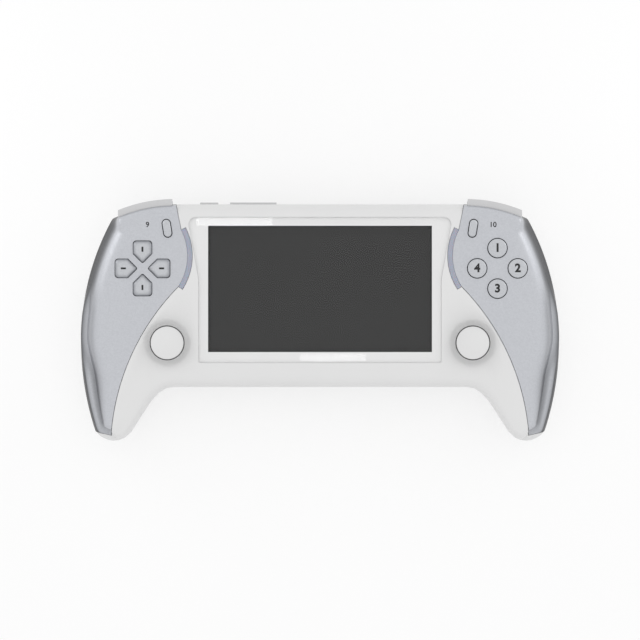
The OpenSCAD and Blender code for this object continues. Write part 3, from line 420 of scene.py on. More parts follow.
def grip_form():
    """The hollow front form of the right grip, from inside the seam to the flank."""
    start, count, soften, end_run = 50, 90, 4.5, 10
    xs = [start + (half_w - start) * math.sin(math.pi / 2 * i / (count + 0.35)) for i in range(count + 1)]
    plan = [Vector((x, lower_edge(x))) for x in xs] + [Vector((x, upper_edge(x))) for x in reversed(xs)]
    sides = [plan[min(i + 1, len(plan) - 1)] - plan[max(i - 1, 0)] for i in range(len(plan))]
    along = [0]
    for a, b in zip(plan, plan[1:]):
        along.append(along[-1] + (b - a).length)
    inward = []
    for s in along:
        t = sum((v * math.exp(-((s - r) / soften) ** 2) for r, v in zip(along, sides)), Vector((0, 0)))
        inward.append(Vector((-t.y, t.x)).normalized())
    outer, inner = [], []
    for rings, levels, depth in ((outer, between(LIP, 4) + between(FACE, 5)[1:], 0), (inner, INSIDE, wall)):
        for level in levels:
            z = part_z + level[0] * (front_z - part_z - depth)
            drawn = [p + v * (level_inset(level, p) + depth) for p, v in zip(plan, inward)]
            rings.append([(q.x + depth * max(0, 1 - (q.x - start) / end_run), q.y, z) for q in drawn])
    points, faces = skin(outer)
    more, backs = skin(inner)
    first, count = len(points), len(plan)
    faces = faces[1:] + [[first + i for i in reversed(f)] for f in backs[1:]]
    faces += [[(i + 1) % count, i, first + i, first + (i + 1) % count] for i in range(count)]
    return points + more, faces


strip_top, strip_foot, strip_bow = (58.9, 38.2), (60.1, 14.2), -3.2
seam_foot, seam_bow, seam_slope = (88.7, -49), 6.2, 0.22
seam_x, past_top, past_side = 61.2, y_top + 12, half_w + 12
cover_plan = [(seam_x, past_top), (seam_x, y_top)] + bow_arc(strip_top, strip_foot, strip_bow, 24, -0.05)
cover_plan += bow_arc(strip_foot, seam_foot, seam_bow, 48, 0.08)[1:]
cover_plan += [(past_side, seam_foot[1] + (past_side - seam_foot[0]) * seam_slope), (past_side, past_top)]


def on_side(plan, side):
    """A plan of the right side, or its mirror image on the left, running round the same way."""
    return [(x * side, y) for x, y in plan][::side]


key_gap, dpad_gap, shoulder_gap = 0.25, 0.15, 0.3
pad_x, pad_y = 75.3, 21.9
dpad_half, dpad_tip, dpad_end = 4, 2.2, 11.7
button_ring, button_r = 8.6, 4.1
menu_x, menu_y = 64.9, 38.9
pill_r, pill_reach, pill_lean = 1.75, 2.05, 9
shoulder_x, shoulder_run, shoulder_depth = 62.8, 23, 4.6
shoulder_low, shoulder_high = 10.3, 27.7
hinge_x, hinge_drop, shoulder_turn = 64.8, 3.4, 4


def dpad_shape(turn, grow):
    """Outline of one direction key, turned about the middle of its group."""
    w, tip, end = dpad_half + grow, dpad_tip - grow * math.sqrt(2), dpad_end + grow
    shape = rounded([(0, tip), (w, tip + w), (w, end), (-w, end), (-w, tip + w)], [0.8, 0.8, 1.5, 1.5, 0.8])
    c, s = math.cos(math.radians(turn)), math.sin(math.radians(turn))
    return [(-pad_x + x * c - y * s, pad_y + x * s + y * c) for x, y in shape]


def ring_place(side, turn):
    """Place of a round button or a dome, turned about the middle of its group."""
    t = math.radians(turn)
    return pad_x * side - button_ring * math.sin(t), pad_y + button_ring * math.cos(t)


def pill_shape(side, grow):
    """Outline of one menu key, leaning with its grip."""
    r, lean = pill_r + grow, math.radians(-pill_lean * side)
    ends = [(r * math.cos(t), (pill_reach if t < math.pi else -pill_reach) + r * math.sin(t))
            for t in (math.pi * (i + 0.5) / 16 for i in range(32))]
    return [(menu_x * side + x * math.cos(lean) - y * math.sin(lean),
             menu_y + x * math.sin(lean) + y * math.cos(lean)) for x, y in ends]


def shoulder_shape(proud, gap, pressed=0):
    """Outline of the room of a shoulder key along the right brow, at rest or pressed in."""
    xs = [shoulder_x - gap + (shoulder_run + gap + min(gap, 0.1)) * i / 32 for i in range(33)]
    plan = [(x, brow(x, shoulder_depth + gap)) for x in xs] + [(x, brow(x, -proud)) for x in reversed(xs)]
    hinge = Vector((hinge_x, y_top - hinge_drop))
    turn = Matrix.Rotation(math.radians(-pressed), 2)
    return [tuple(hinge + turn @ (Vector(q) - hinge)) for q in plan]


def curve(tree, value, points):
    """A value drawn through points from 0 to 1 in straight steps."""
    node = add(tree, "ShaderNodeFloatCurve", {"Value": value})
    line = node.mapping.curves[0]
    for spot in points[1:-1]:
        line.points.new(*spot)
    line.points[0].location = points[0]
    line.points[-1].location = points[-1]
    for point in line.points:
        point.handle_type = "VECTOR"
    node.mapping.update()
    return node.outputs["Value"]


# Silver flake lacquer: aluminium flakes of about 0.45 mm as they show in the
# photograph, drawn coarser than real ones, under a thin clear coat. Its colour
# carries painted shade: it darkens by height down the flank, in the crease and
# over the lip, and on the steep walls of the key openings.
silver, tree, shader, place = finish("silver_flake_lacquer", {
    "Metallic": 0.85, "Coat Weight": 0.1, "Coat Roughness": 0.2})
flakes = add(tree, "ShaderNodeTexVoronoi", {"Vector": place, "Scale": 1 / (0.45 * mm)})
shine = add(tree, "ShaderNodeSeparateColor", {"Color": flakes.outputs["Color"]})
spray = add(tree, "ShaderNodeMix", {
    "Factor": shine.outputs["Red"], "A": colour("#BFC1C6"), "B": colour("#C6C8CD")}, data_type="RGBA")
spot = add(tree, "ShaderNodeSeparateXYZ", {"Vector": place})
rise = add(tree, "ShaderNodeMapRange", {
    "Value": spot.outputs["Z"], "From Min": part_z * mm, "From Max": front_z * mm}).outputs["Result"]
# Painted shade down the flank, in the crease and over the lip: a share by height, blended along the grip by
# Y, where 1 leaves the lacquer unshaded.
painted_flank_shade = curve(tree, rise, [(0, 0.08), (0.26, 0.15), (0.41, 0.22), (0.52, 0.3), (0.6, 0.46), (0.67, 0.66),
                              (0.73, 0.9), (0.78, 1), (1, 1)])
for low, high, points in (
        (2.2, 18.2, [(0, 0.08), (0.28, 0.15), (0.34, 0.4), (0.38, 0.7), (0.41, 0.8), (0.52, 0.82),
                     (0.65, 0.76), (0.765, 0.7), (0.81, 0.76), (0.89, 0.92), (0.97, 1), (1, 1)]),
        (-26, -10, [(0, 0.08), (0.26, 0.15), (0.29, 0.5), (0.313, 0.76), (0.34, 0.86), (0.352, 0.83),
                    (0.364, 0.72), (0.375, 0.62), (0.385, 0.54), (0.41, 0.44), (0.52, 0.52), (0.67, 0.58),
                    (0.8, 0.68), (0.89, 0.82), (0.936, 0.9), (0.97, 0.96), (1, 1)]),
        (-47, -43, [(0, 0.08), (0.26, 0.15), (0.29, 0.5), (0.313, 0.76), (0.34, 0.82), (0.385, 0.76),
                    (0.41, 0.74), (0.52, 0.8), (0.67, 0.86), (0.8, 0.92), (1, 1)])):
    up = add(tree, "ShaderNodeMapRange", {
        "Value": spot.outputs["Y"], "From Min": low * mm, "From Max": high * mm},
        interpolation_type="SMOOTHSTEP")
    painted_flank_shade = add(tree, "ShaderNodeMix", {
        "Factor": up.outputs["Result"], "A": curve(tree, rise, points), "B": painted_flank_shade}).outputs["Result"]
# Painted shade on the steep walls of the key openings, near the front only.
lean = add(tree, "ShaderNodeSeparateXYZ", {
    "Vector": add(tree, "ShaderNodeNewGeometry", {}).outputs["True Normal"]})
painted_wall_shade = add(tree, "ShaderNodeMapRange", {
    "Value": lean.outputs["Z"], "From Min": 0.02, "From Max": 0.2, "To Min": 0.08, "To Max": 1})
opening = add(tree, "ShaderNodeMapRange", {
    "Value": spot.outputs["Z"], "From Min": (front_z - wall - 0.6) * mm, "From Max": (front_z - wall) * mm})
painted_wall_shade = add(tree, "ShaderNodeMix", {
    "Factor": opening.outputs["Result"], "A": 1.0, "B": painted_wall_shade.outputs["Result"]})
painted_shade_share = add(tree, "ShaderNodeMath", {0: painted_flank_shade, 1: painted_wall_shade.outputs["Result"]}, operation="MULTIPLY")
# Painted shade: the colour goes towards near black where the shade share is low.
base = add(tree, "ShaderNodeMix", {
    "Factor": painted_shade_share.outputs[0], "A": colour("#0C0C0D"), "B": spray.outputs["Result"]}, data_type="RGBA")
gloss = add(tree, "ShaderNodeMapRange", {"Value": shine.outputs["Green"], "To Min": 0.34, "To Max": 0.46})
relief = add(tree, "ShaderNodeBump", {
    "Height": shine.outputs["Blue"], "Strength": 0.1, "Distance": 0.05 * mm})
feed(tree, shader, {
    "Base Color": base.outputs["Result"], "Roughness": gloss.outputs["Result"],
    "Normal": relief.outputs["Normal"]})

form_points, form_faces = grip_form()
for side, name, node in ((-1, "left_cover", "left_grip_cover"), (1, "right_cover", "right_grip_cover")):
    points = [(x * side, y, z) for x, y, z in form_points]
    cover = piece(name, points, [f[::side] for f in form_faces])
    cut(cover, [prism(on_side(cover_plan, side), part_z - 1, front_z + 1)], "INTERSECT")
    holes = [prism(pill_shape(side, key_gap), part_z, front_z + 1)]
    for room in (shoulder_shape(12, shoulder_gap), shoulder_shape(0, shoulder_gap, shoulder_turn)):
        holes.append(prism(on_side(room, side), shoulder_low, shoulder_high))
    for turn in (0, 90, 180, 270):
        round_hole = circle(*ring_place(side, turn), button_r + key_gap)
        hole = dpad_shape(turn, dpad_gap) if side < 0 else round_hole
        holes.append(prism(hole, part_z, front_z + 1))
    cut(cover, holes)
    cover.data.set_sharp_from_angle(angle=math.radians(28))
    cover.modifiers.new("flat_faces_stay_flat", "WEIGHTED_NORMAL").keep_sharp = True
    fit(cover, silver, "case", "silver_paint", node)


# Light strips: translucent bars between the covers and the bar's front.
# Moulded polycarbonate that guides the light of two lamps, lavender when unlit,
# milky and faintly clouded over 4 mm.
guide = mottled("lavender_light_guide", {
    "IOR": 1.58, "Roughness": 0.25, "Subsurface Weight": 0.3, "Subsurface Scale": 1.5 * mm},
    4, 3, "#9EA2B0", "#A4A8B8")[0]
strip_in, strip_out = 0.02, 2.08
for side, name, node in ((-1, "left_strip", "left_light_strip"), (1, "right_strip", "right_light_strip")):
    inner, outer = (bow_arc(strip_top, strip_foot, strip_bow, 24, out) for out in (strip_in, strip_out))
    rings = []
    for z, drawn in ((28, 0), (29.85, 0), (29.95, 0.04), (30, 0.12)):
        share = drawn / (strip_out - strip_in)
        near = [Vector(a).lerp(Vector(b), share) for a, b in zip(inner, outer)]
        far = [Vector(b).lerp(Vector(a), share) for a, b in zip(inner, outer)]
        rings.append([(q.x * side, q.y, z) for q in (near + far[::-1])[::side]])
    strip = piece(name, *skin(rings))
    fit(strip, guide, "case", "light_guide", node)


# Direction keys: four separate pads with a bevelled edge and a crowned top,
# each on its own flange and stem. Moulded ABS in silver lacquer, with a dash
# pad-printed in black on the outer half.
key_top, crown_r = front_z + 1.6, 20
stem_r, stem_low = 2.1, 25.5
flange_low, flange_high, flange_out = 26.85, 27.85, 0.85
BEVEL = ((0, 1), (-0.05, 0.8), (-0.16, 0.6), (-0.6, 0.25), (-1.0, 0.08), (-1.3, 0.02))
# Painted shade on the bevel rings of the direction keys, one share for each ring of a key's skin.
BEVEL_SHADE = [0] * 5 + [1, 1, 1, 0.8, 0.5, 0.25] + [0] * 5


def crown_height(reach):
    """Height of a key's crowned top at a distance from its middle."""
    return key_top - crown_r + math.sqrt(crown_r ** 2 - reach * reach)


def crown(q, middle):
    """Height of a key's crowned top at a point of its plan."""
    return crown_height((Vector(q) - Vector(middle)).length)


def key_skin(shape, middle, stem, edge):
    """Skin of a crowned key from its stem to its top, for an outline that can grow."""
    spots = [((Vector(q) - Vector(stem)).normalized() * stem_r + Vector(stem)) for q in shape(0)]
    rings = [[(x, y, z) for x, y in spots] for z in (stem_low, flange_low)]
    for g, z in ((flange_out, flange_low), (flange_out, flange_high), (0, flange_high)):
        rings.append([(x, y, z) for x, y in shape(g)])
    for g, drop in BEVEL:
        rings.append([(x, y, crown((x, y), middle) - drop * edge) for x, y in shape(g * edge)])
    for share in (0.8, 0.6, 0.4, 0.2, 0.05):
        drawn = [Vector(middle).lerp(Vector(q), share) for q in shape(BEVEL[-1][0] * edge)]
        rings.append([(q.x, q.y, crown(q, middle)) for q in drawn])
    return skin(rings)


# Silver key lacquer: as on the covers, with the same flakes, on the part of a key
# that stands proud; below it painted shade turns the colour near black as a dark
# line round the key, and painted shade darkens the bevels of the direction keys.
key_silver, tree, shader, place = finish("silver_key_lacquer", {
    "Metallic": 0.8, "Coat Weight": 0.2, "Coat Roughness": 0.15})
flakes = add(tree, "ShaderNodeTexVoronoi", {"Vector": place, "Scale": 1 / (0.4 * mm)})
shine = add(tree, "ShaderNodeSeparateColor", {"Color": flakes.outputs["Color"]})
spray = add(tree, "ShaderNodeMix", {
    "Factor": shine.outputs["Red"], "A": colour("#BDBFC3"), "B": colour("#C5C7CB")}, data_type="RGBA")
spot = add(tree, "ShaderNodeSeparateXYZ", {"Vector": place})
# Painted shade: below the front of the cover the key goes near black, for the shade in the gap round it.
proud = add(tree, "ShaderNodeMapRange", {
    "Value": spot.outputs["Z"], "From Min": front_z * mm, "From Max": (front_z + 0.7) * mm})
# Painted shade on the bevels, carried by the key's mesh.
bevel_shade_level = add(tree, "ShaderNodeAttribute", {}, attribute_name="painted_bevel_shade")
bevel_shaded = add(tree, "ShaderNodeMix", {
    "Factor": bevel_shade_level.outputs["Fac"], "A": spray.outputs["Result"], "B": colour("#96989D")}, data_type="RGBA")
base = add(tree, "ShaderNodeMix", {
    "Factor": proud.outputs["Result"], "A": colour("#0E0E0F"),
    "B": bevel_shaded.outputs["Result"]}, data_type="RGBA")
gloss = add(tree, "ShaderNodeMapRange", {"Value": shine.outputs["Green"], "To Min": 0.28, "To Max": 0.4})
relief = add(tree, "ShaderNodeBump", {
    "Height": shine.outputs["Blue"], "Strength": 0.1, "Distance": 0.05 * mm})
feed(tree, shader, {
    "Base Color": base.outputs["Result"], "Roughness": gloss.outputs["Result"],
    "Normal": relief.outputs["Normal"]})

# Black pad-printing ink: matt, with a slightly worn, uneven edge to its tone.
black_ink = mottled("black_pad_print", {"Roughness": 0.5}, 0.5, 2, "#090909", "#141414")[0]

dash_reach, dash_half, dash_across = 8.1, 1.1, 0.4
for turn, name in ((0, "up"), (90, "left"), (180, "down"), (270, "right")):
    t = math.radians(turn)
    way = Vector((-math.sin(t), math.cos(t)))
    middle = Vector((-pad_x, pad_y)) + way * (button_ring - 1)
    stem = middle + way
    points, faces = key_skin(lambda g: dpad_shape(turn, g), middle, stem, 0.85)
    key = piece(f"dpad_{name}_pad", points, faces)
    # Painted shade shares of the bevel rings, stored on the key.
    levels = [w for w in BEVEL_SHADE for q in dpad_shape(turn, 0)]
    key.data.attributes.new("painted_bevel_shade", "FLOAT", "POINT").data.foreach_set("value", levels)
    fit(key, key_silver, f"dpad_{name}", "key_plastic", f"dpad_{name}_key")
    spot = Vector((-pad_x, pad_y)) + way * dash_reach
    across = Vector((-way.y, way.x)) * dash_across
    plan = [spot + way * a * dash_half + across * b for a, b in ((1, 1), (-1, 1), (-1, -1), (1, -1))]
    plan = rounded([tuple(q) for q in plan], [0.2] * 4)
    rings = [[(x, y, crown((x, y), middle) + lift) for x, y in plan] for lift in (-0.1, 0.06)]
    dash = piece(f"dpad_{name}_dash", *skin(rings))
    fit(dash, black_ink, f"dpad_{name}", "key_plastic")


# Round buttons: four crowned buttons turned from one profile, with a flange and
# a stem underneath. Moulded ABS in silver lacquer, with a black printed number.
def turned_tree(name, profile, material):
    """A tree that turns a profile of (radius, height) points, with its sizes as inputs."""
    tree = bpy.data.node_groups.new(name, "GeometryNodeTree")
    tree.is_modifier = True
    for label, kind in (("Largest radius", "Float"), ("Lowest", "Float"), ("Height", "Float"),
                        ("Points round", "Int"), ("Middle", "Vector")):
        tree.interface.new_socket(label, in_out="INPUT", socket_type="NodeSocket" + kind)
    tree.interface.new_socket("Piece", in_out="OUTPUT", socket_type="NodeSocketGeometry")
    given = add(tree, "NodeGroupInput", {}).outputs
    sheet = add(tree, "GeometryNodeMeshGrid", {
        "Size X": 1, "Size Y": 1, "Vertices X": given["Points round"], "Vertices Y": len(profile)})
    flat = add(tree, "GeometryNodeInputPosition", {})
    at = add(tree, "ShaderNodeSeparateXYZ", {"Vector": flat.outputs[0]})
    turn = add(tree, "ShaderNodeMath", {0: at.outputs["X"], 1: 2 * math.pi}, operation="MULTIPLY")
    along = add(tree, "ShaderNodeMath", {0: at.outputs["Y"], 1: 0.5}, operation="ADD")
    widest = max(r for r, z in profile)
    low, high = min(z for r, z in profile), max(z for r, z in profile)
    curves = []
    for shares in ([r / widest for r, z in profile], [(z - low) / (high - low) for r, z in profile]):
        steps = [(k / (len(shares) - 1), q) for k, q in enumerate(shares)]
        curves.append(curve(tree, along.outputs[0], steps))
    reach = add(tree, "ShaderNodeMath", {0: curves[0], 1: given["Largest radius"]}, operation="MULTIPLY")
    rise = add(tree, "ShaderNodeMath", {
        0: curves[1], 1: given["Height"], 2: given["Lowest"]}, operation="MULTIPLY_ADD")
    cos = add(tree, "ShaderNodeMath", {0: turn.outputs[0]}, operation="COSINE")
    sin = add(tree, "ShaderNodeMath", {0: turn.outputs[0]}, operation="SINE")
    x = add(tree, "ShaderNodeMath", {0: reach.outputs[0], 1: cos.outputs[0]}, operation="MULTIPLY")
    y = add(tree, "ShaderNodeMath", {0: reach.outputs[0], 1: sin.outputs[0]}, operation="MULTIPLY")
    spot = add(tree, "ShaderNodeCombineXYZ", {"X": x.outputs[0], "Y": y.outputs[0], "Z": rise.outputs[0]})
    moved = add(tree, "ShaderNodeVectorMath", {0: spot.outputs[0], 1: given["Middle"]}, operation="ADD")
    shaped = add(tree, "GeometryNodeSetPosition", {
        "Geometry": sheet.outputs["Mesh"], "Position": moved.outputs[0]})
    closed = add(tree, "GeometryNodeMergeByDistance", {
        "Geometry": shaped.outputs[0], "Distance": 0.001 * mm})
    whole = add(tree, "GeometryNodeRealizeInstances", {"Geometry": closed.outputs[0]})
    dressed = add(tree, "GeometryNodeSetMaterial", {"Geometry": whole.outputs[0], "Material": material})
    add(tree, "NodeGroupOutput", {"Piece": dressed.outputs[0]})
    return tree


def grown(name, tree, values, points=()):
    """The plain mesh that a tree makes from its named values and any starting points."""
    made = piece(name, points, [])
    step = made.modifiers.new("made_by", "NODES")
    step.node_group = tree
    for item in tree.interface.items_tree:
        if item.in_out == "INPUT" and item.name in values:
            step[item.identifier] = values[item.name]
    mesh = evaluated(made)
    made.modifiers.clear()
    work = bmesh.new()
    work.from_mesh(mesh)
    bmesh.ops.recalc_face_normals(work, faces=work.faces)
    work.to_mesh(mesh)
    work.free()
    mesh.shade_smooth()
    mesh.set_sharp_from_angle(angle=sharp_edge)
    made.data = mesh
    return made


def turned(name, tree, profile, count, x, y):
    """A piece that a tree turns from its profile about an upright axis."""
    low, high = min(z for r, z in profile), max(z for r, z in profile)
    return grown(name, tree, {
        "Largest radius": max(r for r, z in profile) * mm, "Lowest": low * mm, "Height": (high - low) * mm,
        "Points round": count, "Middle": (x * mm, y * mm, 0)})


def printed(name, words, size, weight, x, y, height, body, slot):
    """A printed number, as a thin plate of ink that follows the surface below it."""
    half_plate, ink = 0.05, 0.04
    letters = bpy.data.curves.new(name, "FONT")
    letters.body = words
    letters.align_x = "CENTER"
    letters.align_y = "CENTER"
    letters.size = size
    letters.offset = weight
    letters.extrude = half_plate
    text = bpy.data.objects.new(name, letters)
    bpy.context.scene.collection.objects.link(text)
    mesh = evaluated(text)
    bpy.data.objects.remove(text)
    work = bmesh.new()
    work.from_mesh(mesh)
    bmesh.ops.remove_doubles(work, verts=work.verts, dist=0.001)
    bmesh.ops.triangulate(work, faces=work.faces)
    long = [e for e in work.edges if e.calc_length() > 0.12 * size]
    bmesh.ops.subdivide_edges(work, edges=long, cuts=2)
    bmesh.ops.triangulate(work, faces=work.faces)
    work.verts.index_update()
    points = [(q.co.x + x, q.co.y + y) for q in work.verts]
    lifts = [ink * q.co.z / half_plate for q in work.verts]
    faces = [[q.index for q in f.verts] for f in work.faces]
    work.free()
    made = piece(name, [(*q, height(q) + lift) for q, lift in zip(points, lifts)], faces)
    fit(made, black_ink, body, slot)


rim, skirt_r, flange_r = crown_height(button_r), button_r - 0.1, button_r + flange_out
profile = [(0, stem_low), (stem_r, stem_low), (stem_r, flange_low), (flange_r, flange_low),
           (flange_r, flange_high), (skirt_r, flange_high), (skirt_r, rim - 0.4), (3.99, rim - 0.3),
           (3.96, rim - 0.2), (3.9, rim - 0.11), (3.81, rim - 0.03), (3.7, rim + 0.03)]
profile += [(k / 100, crown_height(k / 100)) for k in [*range(350, 40, -20), 35, 20, 10, 5, 0]]
button_tree = turned_tree("turned_button", profile, key_silver)
for turn, name, number in ((0, "top", "1"), (270, "right", "2"), (180, "bottom", "3"), (90, "left", "4")):
    x, y = ring_place(1, turn)
    button = turned(f"{name}_round_button", button_tree, profile, 97, x, y)
    fit(button, key_silver, f"{name}_button_body", "key_plastic", f"{name}_button")
    printed(f"{name}_button_number", number, 4.9, 0.19, x, y, lambda q: crown(q, (x, y)),
            f"{name}_button_body", "key_plastic")


# Menu keys: two narrow pills that lean with the grips, above a printed number
# on the cover. Moulded ABS in silver lacquer on a flange and a stem.
label_y, pill_inset = 40.4, 0.12
for side, name, number, label_x in ((-1, "select", "9", -73.2), (1, "start", "10", 73.4)):
    middle = (menu_x * side, menu_y)
    key = piece(f"{name}_pill", *key_skin(lambda g: pill_shape(side, g - pill_inset), middle, middle, 0.45))
    fit(key, key_silver, name, "key_plastic", f"{name}_key")
    printed(f"{name}_label", number, 3.1, 0.055, label_x, label_y, lambda q: front_z, "case", "silver_paint")


# Rubber membranes: a sheet on each button board with a hollow dome under each key.
# Moulded silicone, in which a pressed key folds its dome flat; here each dome stands at rest, with a mesh of
# its own.

# Silicone: matt and slightly translucent, grey-white, with faint clouds of 6 mm.
silicone = mottled("moulded_silicone_rubber", {
    "Roughness": 0.6, "IOR": 1.41, "Subsurface Weight": 0.2, "Subsurface Scale": 2 * mm},
    6, 3, "#CFCFCC", "#DADAD7")[0]
dome_low, dome_top, key_travel = 23.15, stem_low, 1.2
profile = [(0, dome_top), (2.2, dome_top), (2.3, dome_top - 0.1), (3.17, dome_low), (2.28, dome_low),
           (1.6, dome_top - 0.7), (0, dome_top - 0.7)]
dome_tree = turned_tree("turned_dome", profile, silicone)
for side, node in ((-1, "left_membrane"), (1, "right_membrane")):
    sheet = smooth_copy(f"{node}_sheet", node)
    block = on_side(((50, -60), (110, -60), (110, 60), (50, 60)), side)
    cut(sheet, [prism(block, dome_low - 2, dome_low)], "INTERSECT")
    fit(sheet, silicone, "case", "silicone", node)
for side, joint, turn in ((-1, "select_press", None), (1, "start_press", None),
                          (-1, "dpad_up_press", 0), (-1, "dpad_left_press", 90),
                          (-1, "dpad_down_press", 180), (-1, "dpad_right_press", 270),
                          (1, "top_button_press", 0), (1, "left_button_press", 90),
                          (1, "bottom_button_press", 180), (1, "right_button_press", 270)):
    x, y = (menu_x * side, menu_y) if turn is None else ring_place(side, turn)
    dome = turned(joint.replace("press", "dome"), dome_tree, profile, 33, x, y)
    fit(dome, silicone, "case", "silicone")
    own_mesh(dome)


# Thumbstick caps: a domed thumb rest on a neck, over a ball that closes the hole
# in the dish. Turned from one profile, moulded ABS, pressed on the steel shaft.
# A dark ring round the edge of the rest is painted shade, a dark piece for the shadow there.
stick_x, stick_y, pivot_z = 64.8, -9.7, 22
ball_in, ball_out, ball_edge, neck_edge = 6.4, 7.4, 68, 21.4
rest_r, rest_rise, rest_top = 7.4, 1.8, 35.4
profile = []
for k in range(6):
    t = math.radians(ball_edge * k / 5)
    profile.append((ball_in * math.sin(t), pivot_z + ball_in * math.cos(t)))
for k in range(8):
    t = math.radians(ball_edge - (ball_edge - neck_edge) * k / 7)
    profile.append((ball_out * math.sin(t), pivot_z + ball_out * math.cos(t)))
profile += [(2.7, 31.6), (3.2, 32.2), (4.2, 32.4), (6.9, 32.4), (7.05, 32.6), (7.05, 33.76)]
crest = (rest_r ** 2 + rest_rise ** 2) / (2 * rest_rise)
profile += [(r, rest_top - crest + math.sqrt(crest ** 2 - r * r)) for r in
            (6.6, 6, 5.2, 4.4, 3.6, 2.8, 2, 1.2, 0.5, 0)]
cap_tree = turned_tree("turned_stick_cap", profile, white_abs)

# Painted shade ring: matt, deep grey, with a faint bloom of 2 mm, a dark piece that stands for the shade at
# the rest's edge.
painted_ring_shade = mottled("painted_shade_ring", {"Roughness": 0.7, "IOR": 1.5}, 2, 2, "#3A3A3B", "#474748")[0]
shade_ring_profile = [(7.05, 32.6), (7.22, 32.55), (7.36, 32.68), (7.4, 32.9), (7.4, 33.4), (7.37, 33.6), (7.28, 33.74),
        (7.15, 33.83), (6.97, 33.86), (7.05, 32.6)]
shade_ring_tree = turned_tree("turned_cap_shade_ring", shade_ring_profile, painted_ring_shade)
for side, name in ((-1, "left"), (1, "right")):
    cap = turned(f"{name}_thumb_rest", cap_tree, profile, 129, stick_x * side, stick_y)
    fit(cap, white_abs, f"{name}_stick", "white_plastic", f"{name}_stick_cap")
    # Painted shade: a dark ring at the rest's edge that stands for the shadow there.
    edge = turned(f"{name}_rest_shade_ring", shade_ring_tree, shade_ring_profile, 129, stick_x * side, stick_y)
    fit(edge, painted_ring_shade, f"{name}_stick", "black_plastic")


# Shoulder and trigger keys: two curved bars one behind the other in each brow,
# hinged on one pin at their inner ends. Moulded ABS in a smooth pearl lacquer.

# Pearl lacquer: a pale neutral silver, smoother than that of the covers, with a
# fine shimmer of 0.3 mm and a soft sheen.
pearl, tree, shader, flakes = mottled("pearl_silver_lacquer", {
    "Metallic": 0.5, "IOR": 1.5}, 0.3, 2, "#C5C5C6", "#CFCFD0")
gloss = add(tree, "ShaderNodeMapRange", {"Value": flakes.outputs["Fac"], "To Min": 0.34, "To Max": 0.44})
feed(tree, shader, {"Roughness": gloss.outputs["Result"]})
for name, node in (("left_shoulder", "left_shoulder_key"), ("right_shoulder", "right_shoulder_key"),
                   ("left_trigger", "left_trigger_key"), ("right_trigger", "right_trigger_key")):
    key = smooth_copy(f"{name}_bar", node)
    round_edges(key, 0.6, 4)
    fit(key, pearl, name, "key_plastic", node)


# Power key and volume rocker: low bars in the top edge. Moulded ABS in pearl
# lacquer, each with a flange inside the shell; the rocker turns on a post.
for name, node in (("power", "power_key"), ("volume", "volume_key")):
    key = smooth_copy(f"{name}_bar", node)
    round_edges(key, 0.35, 3)
    fit(key, pearl, name, "key_plastic", node)


# Case screws: six cross-recessed screws deep in the tubes of the rear shell.
# Nickel-plated steel with a low head.
screw_low, screw_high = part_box("case_screws")
tree = bpy.data.node_groups.new("cross_screws", "GeometryNodeTree")
tree.is_modifier = True
tree.interface.new_socket("Places", in_out="INPUT", socket_type="NodeSocketGeometry")
for label in ("Head radius", "Head height", "Thread radius", "Thread length",
              "Recess width", "Recess depth"):
    tree.interface.new_socket(label, in_out="INPUT", socket_type="NodeSocketFloat")
tree.interface.new_socket("Screws", in_out="OUTPUT", socket_type="NodeSocketGeometry")
given = add(tree, "NodeGroupInput", {}).outputs
head = add(tree, "GeometryNodeMeshCylinder", {
    "Vertices": 32, "Radius": given["Head radius"], "Depth": given["Head height"]})
span = add(tree, "ShaderNodeMath", {0: given["Head radius"], 1: 1.2}, operation="MULTIPLY")
deep = add(tree, "ShaderNodeMath", {0: given["Recess depth"], 1: 2}, operation="MULTIPLY")
under = add(tree, "ShaderNodeMath", {0: given["Head height"], 1: -0.5}, operation="MULTIPLY")
base = add(tree, "ShaderNodeCombineXYZ", {"Z": under.outputs[0]})
bars = []
for wide, long in ((given["Recess width"], span.outputs[0]), (span.outputs[0], given["Recess width"])):
    size = add(tree, "ShaderNodeCombineXYZ", {"X": wide, "Y": long, "Z": deep.outputs[0]})
    bar = add(tree, "GeometryNodeMeshCube", {"Size": size.outputs[0]})
    bars.append(add(tree, "GeometryNodeTransform", {
        "Geometry": bar.outputs["Mesh"], "Translation": base.outputs[0]}))
cross = add(tree, "GeometryNodeMeshBoolean", {"Mesh 1": head.outputs["Mesh"]}, operation="DIFFERENCE")
for bar in bars:
    tree.links.new(bar.outputs[0], cross.inputs["Mesh 2"])
thread = add(tree, "GeometryNodeMeshCylinder", {
    "Vertices": 24, "Radius": given["Thread radius"], "Depth": given["Thread length"]})
sum_up = add(tree, "ShaderNodeMath", {0: given["Thread length"], 1: given["Head height"]}, operation="ADD")
half = add(tree, "ShaderNodeMath", {0: sum_up.outputs[0], 1: 0.5}, operation="MULTIPLY")
above = add(tree, "ShaderNodeCombineXYZ", {"Z": half.outputs[0]})
shank = add(tree, "GeometryNodeTransform", {
    "Geometry": thread.outputs["Mesh"], "Translation": above.outputs[0]})
both = add(tree, "GeometryNodeJoinGeometry", {})
for part in (cross.outputs["Mesh"], shank.outputs[0]):
    tree.links.new(part, both.inputs[0])
spread = add(tree, "GeometryNodeInstanceOnPoints", {"Points": given["Places"], "Instance": both.outputs[0]})
whole = add(tree, "GeometryNodeRealizeInstances", {"Geometry": spread.outputs[0]})
dressed = add(tree, "GeometryNodeSetMaterial", {"Geometry": whole.outputs[0], "Material": nickel})
add(tree, "NodeGroupOutput", {"Screws": dressed.outputs[0]})
head_h = 1.6
places = [(x * s, y, screw_low.z / mm + head_h / 2) for s in (-1, 1)
          for x, y in ((57.3, 43.0), (57.3, -23.3), (79.5, -36.0))]
